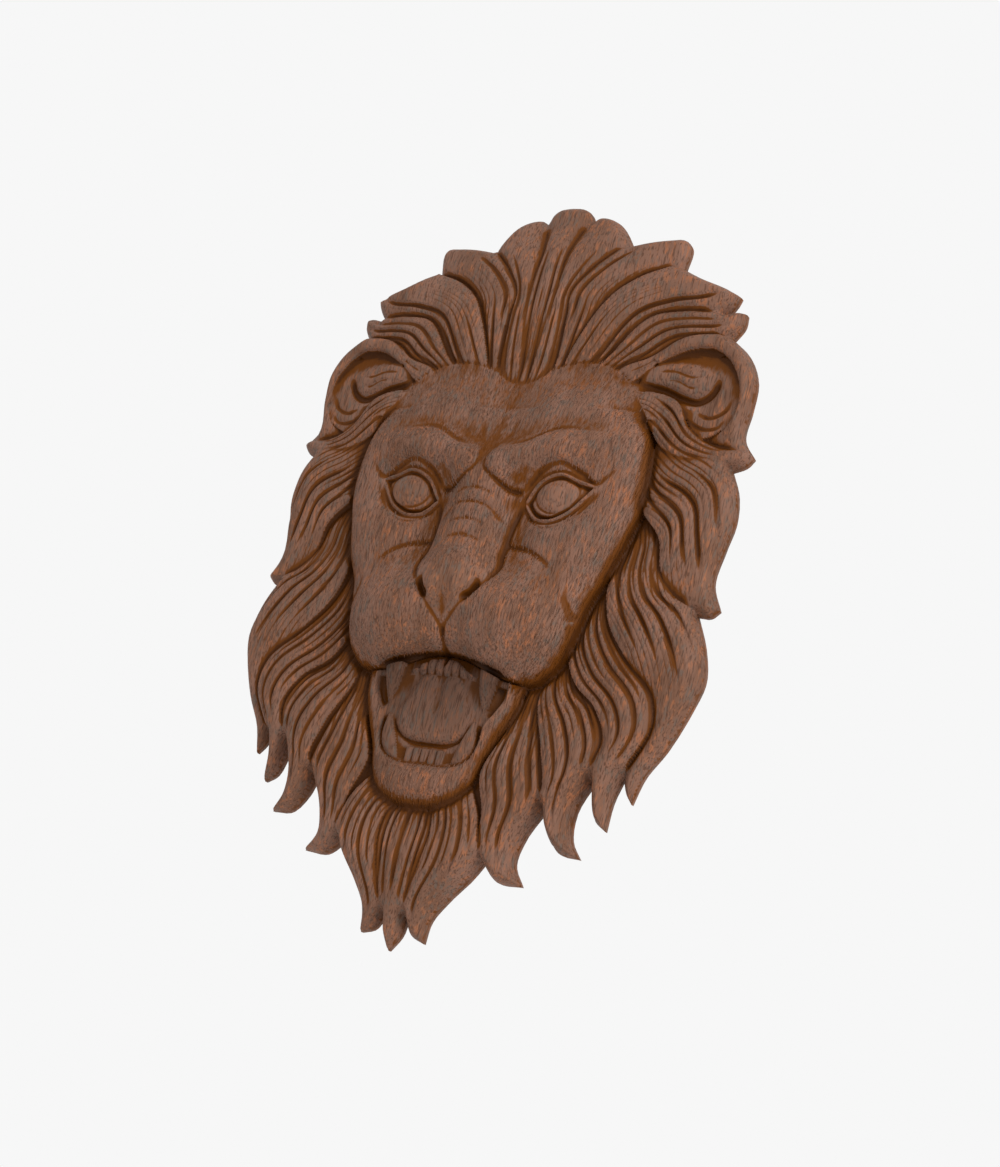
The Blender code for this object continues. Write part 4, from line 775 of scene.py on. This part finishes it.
def blurred(raster, sigma):
    """Raster softened by a round brush of that many cells."""
    reach = math.ceil(BRUSH_REACH * sigma)
    brush = np.exp(-0.5 * (np.arange(-reach, reach + 1) / sigma) ** 2)
    for axis in (0, 1):
        raster = np.apply_along_axis(np.convolve, axis, raster, brush / brush.sum(), mode="same")
    return raster


def read_raster(raster, left, bottom, x, z):
    """Value of a raster at the given places, between its cells."""
    u, v = (x - left) / CELL, (z - bottom) / CELL
    i = np.clip(u.astype(int), 0, raster.shape[1] - 2)
    j = np.clip(v.astype(int), 0, raster.shape[0] - 2)
    u, v = np.clip(u - i, 0, 1), np.clip(v - j, 0, 1)
    low = raster[j, i] * (1 - u) + raster[j, i + 1] * u
    high = raster[j + 1, i] * (1 - u) + raster[j + 1, i + 1] * u
    return low * (1 - v) + high * v


def recess(x, z, height):
    """How deep each place lies below the carving round it, at the scale of a strand and of a lock, which sets
    the stain and painted shade of the cuts.
    """
    rows = np.arange(DRAWN_BOTTOM - RASTER_MARGIN, DRAWN_TOP + RASTER_MARGIN, CELL)
    half = np.arange(0, RASTER_HALF, CELL)
    across, up = np.meshgrid(half, rows)
    solid = within(across.ravel(), up.ravel(), half_outline(STAIN_STEP)).reshape(across.shape)
    raster = np.where(solid, relief(across.ravel(), up.ravel()).reshape(across.shape), 0)
    solid, raster = (np.hstack([a[:, :0:-1], a]) for a in (solid.astype(float), raster))
    depths = []
    for sigma in STAIN_BRUSHES:
        around = blurred(raster, sigma) / np.maximum(blurred(solid, sigma), LEAST_COVER)
        depths.append((read_raster(around, -half[-1], rows[0], x, z) - height) / sigma)
    return depths


def fur_flow(x, z):
    """Direction of the fur on the face: upwards, leaning outwards and most so on the forehead."""
    lean = np.clip(x / FUR_SIDE, -FUR_MOST, FUR_MOST) * np.interp(z, LEAN_SPAN, LEAN)
    return np.stack([lean, np.zeros_like(x), np.ones_like(x)], 1)


def vertex_places(mesh):
    """Place of each vertex, one row each."""
    place = np.zeros(len(mesh.vertices) * 3)
    mesh.vertices.foreach_get("co", place)
    return place.reshape(-1, 3)


def mark_surface(mesh, edge_thickness, rise):
    """Stores on each vertex the depth of stain and painted shade in the cuts, how dark it is (a darker tone
    on the hair and painted shade in the mouth), and the cover of fur and its direction.
    """
    place = vertex_places(mesh)
    x, z = place[:, 0] / UNIT, place[:, 2] / UNIT
    half = np.abs(x)
    # Stain and painted shade in the cuts: the deeper a place lies below the carving round it, the darker it
    # is painted.
    fine, broad = recess(x, z, (-place[:, 1] - edge_thickness) / rise)
    front = place[:, 1] < -edge_thickness * WALL_SHARE
    from_rim, _ = near(half, z, half_outline(STAIN_STEP), CLEAN_RIM)
    from_face, _ = near(half, z, np.vstack([CHEEK_PATH, JAW_PATH]), BAND_REACH)
    in_mouth = within(half, z, MOUTH_RING)
    on_face = within(half, z, FACE_RING)
    inner = (from_rim / CLEAN_RIM) ** 2
    inside = fine * inner - MOUTH_LOSS * in_mouth - RIM_LOSS * (1 - inner)
    fine = np.where(from_rim < RIM_LINE, RIM_STAIN_AND_SHADE, inside)
    fine = np.where(on_face | in_mouth, fine, HAIR_STAIN_AND_SHADE * fine)
    broad = np.where(in_mouth, MOUTH_BROAD, 1) * broad * inner
    # Band of stain and painted shade where the face meets the hair.
    broad += BAND_STAIN_AND_SHADE * bell(from_face, BAND_WIDTH)
    fur = on_face & (near(half, z, LID_LINE, LID_FELT)[0] > LID_CLEAR)
    for stretches in BARE:
        fur &= ~within(half, z, np.vstack([spline(stretch) for stretch in stretches]))
    outside_mouth = np.where(on_face, 0, HAIR_DARKENING)
    values = {
        "stain_and_shade_fine": np.where(front, fine, WALL_STAIN),
        "stain_and_shade_broad": np.where(front, broad, 0),
        # Darker tone on the hair, and painted shade in the mouth that grows towards its top.
        "shade": np.where(in_mouth, np.interp(z, MOUTH_SPAN, MOUTH_PAINTED_SHADE), outside_mouth),
        "fur": np.where(front & fur, np.clip(1 - FUR_THINNING * fine, 0, 1), 0),
    }
    for name, value in values.items():
        layer = mesh.attributes.new(name, "FLOAT", "POINT")
        layer.data.foreach_set("value", value.astype(np.float32))
    layer = mesh.attributes.new("fur_flow", "FLOAT_VECTOR", "POINT")
    layer.data.foreach_set("vector", fur_flow(x, z).astype(np.float32).ravel())


def smooth_front(mesh):
    """Smooth shading on the carving, flat on the wall and the back."""
    at_back = np.abs(vertex_places(mesh)[:, 1]) < BACK_GAP
    smooth = [not any(at_back[v] for v in p.vertices) for p in mesh.polygons]
    mesh.polygons.foreach_set("use_smooth", smooth)


def node(tree, kind, inputs=(), **settings):
    """A node with its settings, and inputs given as values or as sockets to link."""
    made = tree.nodes.new(kind)
    for key, value in settings.items():
        setattr(made, key, value)
    for key, value in dict(inputs).items():
        if isinstance(value, bpy.types.NodeSocket):
            tree.links.new(value, made.inputs[key])
        else:
            made.inputs[key].default_value = value
    return made


def grain(tree, place, scale, detail, roughness, distortion):
    """Noise with the given waves per metre along each axis."""
    stretched = node(tree, "ShaderNodeMapping", {"Vector": place, "Scale": scale}).outputs["Vector"]
    return node(tree, "ShaderNodeTexNoise", {
        "Vector": stretched, "Scale": 1.0, "Detail": detail, "Roughness": roughness, "Distortion": distortion,
    }).outputs["Fac"]


def between_values(tree, value, limits):
    """0 at the first limit, 1 at the second, smooth between."""
    low, high = limits
    return node(tree, "ShaderNodeMapRange", {"Value": value, "From Min": low, "From Max": high},
                interpolation_type="SMOOTHSTEP").outputs["Result"]


def maths(tree, operation, a, b=0.0):
    """Result of an operation on two values, or on the first alone."""
    return node(tree, "ShaderNodeMath", {0: a, 1: b}, operation=operation).outputs["Value"]


def times(tree, a, b):
    """Product of two values."""
    return maths(tree, "MULTIPLY", a, b)


def tint(tree, factor, a, b):
    """Colour a turned to b by a factor."""
    mix = tree.nodes.new("ShaderNodeMix")
    mix.data_type = "RGBA"
    for socket, value in zip((mix.inputs[0], mix.inputs[6], mix.inputs[7]), (factor, a, b)):
        if isinstance(value, bpy.types.NodeSocket):
            tree.links.new(value, socket)
        else:
            socket.default_value = value
    return mix.outputs[2]


def oiled_wood(settings):
    """Oiled brown wood: grey and orange flecks along the grain, dark orange stain and painted shade in the
    cuts, a darker tone on the hair and painted shade in the mouth.
    """
    material = bpy.data.materials.new("carved_wood")
    material.use_nodes = True
    tree = material.node_tree
    shader = tree.nodes["Principled BSDF"]
    place = node(tree, "ShaderNodeTexCoord").outputs["Object"]
    flecks, others, pores, patches, clouds = (grain(tree, place, *sizes) for sizes in GRAINS)
    fine, broad, dark = (node(tree, "ShaderNodeAttribute", attribute_name=name).outputs["Fac"]
                         for name in ("stain_and_shade_fine", "stain_and_shade_broad", "shade"))
    ragged = times(tree, maths(tree, "SUBTRACT", flecks, 0.5), RAGGED)
    depth = maths(tree, "ADD", maths(tree, "ADD", fine, times(tree, broad, BROAD_WEIGHT)), ragged)
    grey = times(tree, between_values(tree, others, GREY), between_values(tree, patches, GREY_PATCHES))
    orange = times(tree, between_values(tree, flecks, ORANGE), between_values(tree, patches, ORANGE_PATCHES))
    coats = (
        (between_values(tree, clouds, CLOUDS), settings.wood_light),
        (grey, settings.fleck_grey),
        (times(tree, orange, ORANGE_COVER), settings.fleck_orange),
        (times(tree, between_values(tree, pores, PORES), PORE_COVER), settings.pore),
        # Stain and painted shade in the cuts, the deepest nearly black.
        (between_values(tree, depth, STAINED), settings.stain),
        (between_values(tree, depth, DEEP_STAINED), settings.deep_stain_and_shade),
        # Darker tone on the hair and painted shade in the mouth, as a mix towards black.
        (dark, (0, 0, 0)),
    )
    colour = (*settings.wood_dark, 1)
    for cover, coat in coats:
        colour = tint(tree, cover, colour, (*coat, 1))
    tree.links.new(colour, shader.inputs["Base Color"])
    low, high = ROUGHNESS
    rough = node(tree, "ShaderNodeMapRange", {"Value": flecks, "To Min": low, "To Max": high})
    tree.links.new(rough.outputs["Result"], shader.inputs["Roughness"])
    shader.inputs["Specular IOR Level"].default_value = GLOSS
    ridges = maths(tree, "ADD", times(tree, flecks, FLECK_BUMP), times(tree, pores, PORE_BUMP))
    bump = node(tree, "ShaderNodeBump", {"Height": ridges, "Strength": BUMP_STRENGTH, "Distance": BUMP_DEPTH})
    tree.links.new(bump.outputs["Normal"], shader.inputs["Normal"])
    return material


def fur_tree():
    """Geometry Nodes: short pointed strokes scattered over the fur, laid along its direction."""
    tree = bpy.data.node_groups.new("fur strokes", "GeometryNodeTree")
    sockets = {"Surface": "Geometry", "Spacing": "Float", "Length": "Float", "Width": "Float",
               "Height": "Float", "Seed": "Int", "Wood": "Material"}
    for name, kind in sockets.items():
        tree.interface.new_socket(name, in_out="INPUT", socket_type="NodeSocket" + kind)
    tree.interface.new_socket("Strokes", in_out="OUTPUT", socket_type="NodeSocketGeometry")
    given = tree.nodes.new("NodeGroupInput").outputs

    cover, flow = (
        node(tree, "GeometryNodeInputNamedAttribute", {"Name": name}, data_type=kind).outputs["Attribute"]
        for name, kind in (("fur", "FLOAT"), ("fur_flow", "FLOAT_VECTOR"))
    )
    spread = node(tree, "GeometryNodeDistributePointsOnFaces", {
        "Mesh": given["Surface"], "Distance Min": given["Spacing"], "Density Max": FUR_DENSITY,
        "Density Factor": cover, "Seed": given["Seed"],
    }, distribute_method="POISSON").outputs

    path = node(tree, "GeometryNodeCurveQuadraticBezier", {
        "Resolution": FUR_SIDES, "Start": (0, -0.5, 0), "Middle": (FUR_BEND, 0, 0), "End": (0, 0.5, 0),
    }).outputs["Curve"]
    share = node(tree, "GeometryNodeSplineParameter").outputs["Factor"]
    taper = maths(tree, "SINE", times(tree, share, math.pi))
    path = node(tree, "GeometryNodeSetCurveRadius", {"Curve": path, "Radius": taper}).outputs["Curve"]
    section = node(tree, "GeometryNodeCurvePrimitiveCircle", {"Resolution": FUR_SIDES, "Radius": 0.5})
    stroke = node(tree, "GeometryNodeCurveToMesh", {"Curve": path, "Profile Curve": section.outputs["Curve"]})
    stroke = node(tree, "GeometryNodeMergeByDistance",
                  {"Geometry": stroke.outputs["Mesh"], "Distance": FUR_JOIN})

    upright = node(tree, "FunctionNodeAlignRotationToVector", {"Vector": spread["Normal"]}, axis="Z")
    sway = node(tree, "FunctionNodeRandomValue", {
        "Min": (-FUR_SWAY, 0, 0), "Max": (FUR_SWAY, 0, 0), "Seed": given["Seed"],
    }, data_type="FLOAT_VECTOR").outputs["Value"]
    aim = node(tree, "ShaderNodeVectorMath", {0: flow, 1: sway}, operation="ADD").outputs["Vector"]
    laid = node(tree, "FunctionNodeAlignRotationToVector", {
        "Rotation": upright.outputs["Rotation"], "Vector": aim,
    }, axis="Y", pivot_axis="Z").outputs["Rotation"]
    size = node(tree, "ShaderNodeCombineXYZ",
                {"X": given["Width"], "Y": given["Length"], "Z": given["Height"]})
    vary = node(tree, "FunctionNodeRandomValue", {2: FUR_SIZES[0], 3: FUR_SIZES[1]})
    scale = node(tree, "ShaderNodeVectorMath", {0: size.outputs["Vector"], "Scale": vary.outputs[1]},
                 operation="SCALE").outputs["Vector"]
    strokes = node(tree, "GeometryNodeInstanceOnPoints", {
        "Points": spread["Points"], "Instance": stroke.outputs["Geometry"], "Rotation": laid, "Scale": scale,
    }).outputs["Instances"]
    strokes = node(tree, "GeometryNodeRealizeInstances", {"Geometry": strokes}).outputs["Geometry"]
    strokes = node(tree, "GeometryNodeSetMaterial", {"Geometry": strokes, "Material": given["Wood"]})
    tree.links.new(strokes.outputs["Geometry"], tree.nodes.new("NodeGroupOutput").inputs["Strokes"])
    return tree


def set_inputs(modifier, **values):
    """Gives the tree's named inputs their values, by each socket's identifier."""
    for socket in modifier.node_group.interface.items_tree:
        if socket.name in values:
            modifier[socket.identifier] = values[socket.name]


def plain(name, colour, roughness):
    """Plain painted surface for the stage."""
    material = bpy.data.materials.new(name)
    material.use_nodes = True
    shader = material.node_tree.nodes["Principled BSDF"]
    shader.inputs["Base Color"].default_value = (*colour, 1)
    shader.inputs["Roughness"].default_value = roughness
    return material


class CarvingSettings(bpy.types.PropertyGroup):
    """Sizes of the carving."""

    grid: FloatProperty(name="Grid", description="Spacing of the points that the relief is carved on",
                        default=0.00055, subtype="DISTANCE", unit="LENGTH")
    edge_step: FloatProperty(name="Edge step", description="Spacing of the points along the outline",
                             default=0.0012, subtype="DISTANCE", unit="LENGTH")
    edge_thickness: FloatProperty(name="Edge thickness", description="Thickness at the tips of the locks",
                                  default=0.006, subtype="DISTANCE", unit="LENGTH")
    triangles: IntProperty(name="Triangles", description="Triangles kept in the carved piece", default=190000)


class FurSettings(bpy.types.PropertyGroup):
    """Sizes of the fur strokes on the face."""

    spacing: FloatProperty(name="Spacing", description="Least distance between the middles of two strokes",
                           default=0.0016, subtype="DISTANCE", unit="LENGTH")
    length: FloatProperty(name="Length", description="Length of a stroke", default=0.0046, subtype="DISTANCE",
                          unit="LENGTH")
    width: FloatProperty(name="Width", description="Width of a stroke", default=0.00055, subtype="DISTANCE",
                         unit="LENGTH")
    height: FloatProperty(name="Height", description="Height of a stroke, half of it under the surface",
                          default=0.00038, subtype="DISTANCE", unit="LENGTH")
    seed: IntProperty(name="Seed", description="Choice of the places of the strokes", default=4)


class WoodSettings(bpy.types.PropertyGroup):
    """Colours of the oiled wood."""

    wood_light: FloatVectorProperty(name="Light wood", description="Lighter ground of the wood",
                                    subtype="COLOR", default=(0.198, 0.100, 0.067))
    wood_dark: FloatVectorProperty(name="Dark wood", description="Darker ground of the wood",
                                   subtype="COLOR", default=(0.140, 0.066, 0.039))
    fleck_grey: FloatVectorProperty(name="Grey flecks", description="Grey flecks along the grain",
                                    subtype="COLOR", default=(0.122, 0.080, 0.060))
    fleck_orange: FloatVectorProperty(name="Orange flecks", description="Orange flecks along the grain",
                                      subtype="COLOR", default=(0.30, 0.110, 0.048))
    pore: FloatVectorProperty(name="Pores", description="Fine dark pores", subtype="COLOR",
                              default=(0.072, 0.032, 0.018))
    # Stain with painted shade: the cuts are darkened by how deep they lie.
    stain: FloatVectorProperty(name="Stain", description="Stain in the cuts", subtype="COLOR",
                               default=(0.106, 0.030, 0.0018))
    # Painted shade with stain at the bottom of the deepest cuts.
    deep_stain_and_shade: FloatVectorProperty(name="Deep stain", description="Stain at the bottom of the deepest cuts",
                                    subtype="COLOR", default=(0.052, 0.0140, 0.0006))


class StageSettings(bpy.types.PropertyGroup):
    """Camera, light and floor."""

    eye: FloatVectorProperty(name="Eye", description="Place of the camera", subtype="XYZ", unit="LENGTH",
                             default=(0.5070, -0.7995, -0.2928))
    target: FloatVectorProperty(name="Target", description="Place on the plaque that the camera looks at",
                                subtype="XYZ", unit="LENGTH", default=(0.0104, 0.0, -0.0151))
    roll: FloatProperty(name="Roll", description="Turn of the camera about its line of sight",
                        default=math.radians(13.99), subtype="ANGLE", unit="ROTATION")
    lens: FloatProperty(name="Lens", description="Focal length in millimetres on a 36 mm sensor",
                        default=53.98)
    floor_drop: FloatProperty(name="Floor drop", description="Depth of the floor below the fixing point",
                              default=1.3, subtype="DISTANCE", unit="LENGTH")
    backdrop: FloatVectorProperty(name="Backdrop", description="Colour of the plain surroundings",
                                  subtype="COLOR", default=(0.93, 0.93, 0.93))


class LION_OT_carve_head(bpy.types.Operator):
    """Carve the lion head from one piece of wood"""

    bl_idname = "lion.carve_head"
    bl_label = "Carve lion head"

    def execute(self, context):
        settings = context.scene.lion_carving
        mesh = flat_half(settings.grid, settings.edge_step)
        rise = carve(mesh, settings.edge_thickness)
        rough = bpy.data.objects.new("rough_carving", mesh)
        context.scene.collection.objects.link(rough)
        triangles = sum(len(p.vertices) - 2 for p in mesh.polygons)
        fewer = rough.modifiers.new("fewer faces", "DECIMATE")
        fewer.ratio = min(1, settings.triangles / 2 / triangles)
        mirror = rough.modifiers.new("other half", "MIRROR")
        mirror.use_bisect_axis[0] = True
        mirror.bisect_threshold = mirror.merge_threshold = MIDDLE_GAP
        head = plain_mesh(rough, "carved_lion_head")
        mark_surface(head.data, settings.edge_thickness, rise)
        smooth_front(head.data)
        head.data.materials.clear()
        head.data.materials.append(oiled_wood(context.scene.lion_wood))
        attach(head, "root")
        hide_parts("lion_head")
        return {"FINISHED"}


class LION_OT_cut_fur(bpy.types.Operator):
    """Cut short fur strokes over the face"""

    bl_idname = "lion.cut_fur"
    bl_label = "Cut fur"

    def execute(self, context):
        settings = context.scene.lion_fur
        head = bpy.data.objects["carved_lion_head"]
        rough = bpy.data.objects.new("rough_fur", head.data.copy())
        context.scene.collection.objects.link(rough)
        strokes = rough.modifiers.new("fur strokes", "NODES")
        strokes.node_group = fur_tree()
        set_inputs(strokes, Spacing=settings.spacing, Length=settings.length, Width=settings.width,
                   Height=settings.height, Seed=settings.seed, Wood=head.data.materials[0])
        fur = plain_mesh(rough, "face_fur_strokes")
        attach(fur, "root")
        return {"FINISHED"}


class LION_OT_set_stage(bpy.types.Operator):
    """Set the camera, the floor and the light"""

    bl_idname = "lion.set_stage"
    bl_label = "Set stage"

    def execute(self, context):
        settings = context.scene.lion_stage
        scene = context.scene
        camera = bpy.data.objects.new("camera", bpy.data.cameras.new("camera"))
        scene.collection.objects.link(camera)
        camera.data.lens = settings.lens
        eye, target = Vector(settings.eye), Vector(settings.target)
        turn = (target - eye).to_track_quat("-Z", "Y").to_matrix().to_4x4()
        camera.matrix_world = Matrix.Translation(eye) @ turn @ Matrix.Rotation(settings.roll, 4, "Z")
        scene.camera = camera

        floor = bpy.data.objects.new("floor", bpy.data.meshes.new("floor"))
        corners = [(FLOOR_HALF * x, FLOOR_HALF * y, 0) for x, y in ((-1, -1), (1, -1), (1, 1), (-1, 1))]
        floor.data.from_pydata(corners, [], [(0, 1, 2, 3)])
        floor.data.transform(Matrix.Translation((0, 0, -settings.floor_drop)))
        floor.data.materials.append(plain("pale_floor", settings.backdrop, FLOOR_ROUGHNESS))
        scene.collection.objects.link(floor)

        for name, place, size, power in LIGHTS:
            light = bpy.data.lights.new(name, "AREA")
            light.shape = "DISK"
            light.size = size
            light.energy = power
            lamp = bpy.data.objects.new(name, light)
            aim = (-Vector(place)).to_track_quat("-Z", "Y").to_matrix().to_4x4()
            lamp.matrix_world = Matrix.Translation(place) @ aim
            scene.collection.objects.link(lamp)

        world = bpy.data.worlds.new("pale surroundings")
        world.use_nodes = True
        world.node_tree.nodes["Background"].inputs["Color"].default_value = (*settings.backdrop, 1)
        scene.world = world
        scene.view_settings.view_transform = "Standard"
        return {"FINISHED"}


class LION_PT_panel(bpy.types.Panel):
    """Lion head tools"""

    bl_label = "Carved lion head"
    bl_idname = "LION_PT_panel"
    bl_space_type = "VIEW_3D"
    bl_region_type = "UI"
    bl_category = "Lion"

    def draw(self, context):
        for operator in OPERATORS:
            self.layout.operator(operator.bl_idname)
        for group in SETTINGS:
            box = self.layout.box()
            settings = getattr(context.scene, group)
            for key in settings.bl_rna.properties.keys():
                if key not in ("rna_type", "name"):
                    box.prop(settings, key)


SETTINGS = {"lion_carving": CarvingSettings, "lion_fur": FurSettings, "lion_wood": WoodSettings,
            "lion_stage": StageSettings}
OPERATORS = (LION_OT_carve_head, LION_OT_cut_fur, LION_OT_set_stage)


def register():
    for name, group in SETTINGS.items():
        bpy.utils.register_class(group)
        setattr(bpy.types.Scene, name, PointerProperty(type=group))
    for kind in (*OPERATORS, LION_PT_panel):
        bpy.utils.register_class(kind)


def unregister():
    for kind in (LION_PT_panel, *OPERATORS[::-1]):
        bpy.utils.unregister_class(kind)
    for name, group in SETTINGS.items():
        delattr(bpy.types.Scene, name)
        bpy.utils.unregister_class(group)


def main():
    register()
    bpy.ops.lion.carve_head()
    bpy.ops.lion.cut_fur()
    bpy.ops.lion.set_stage()


if __name__ == "__main__":
    main()
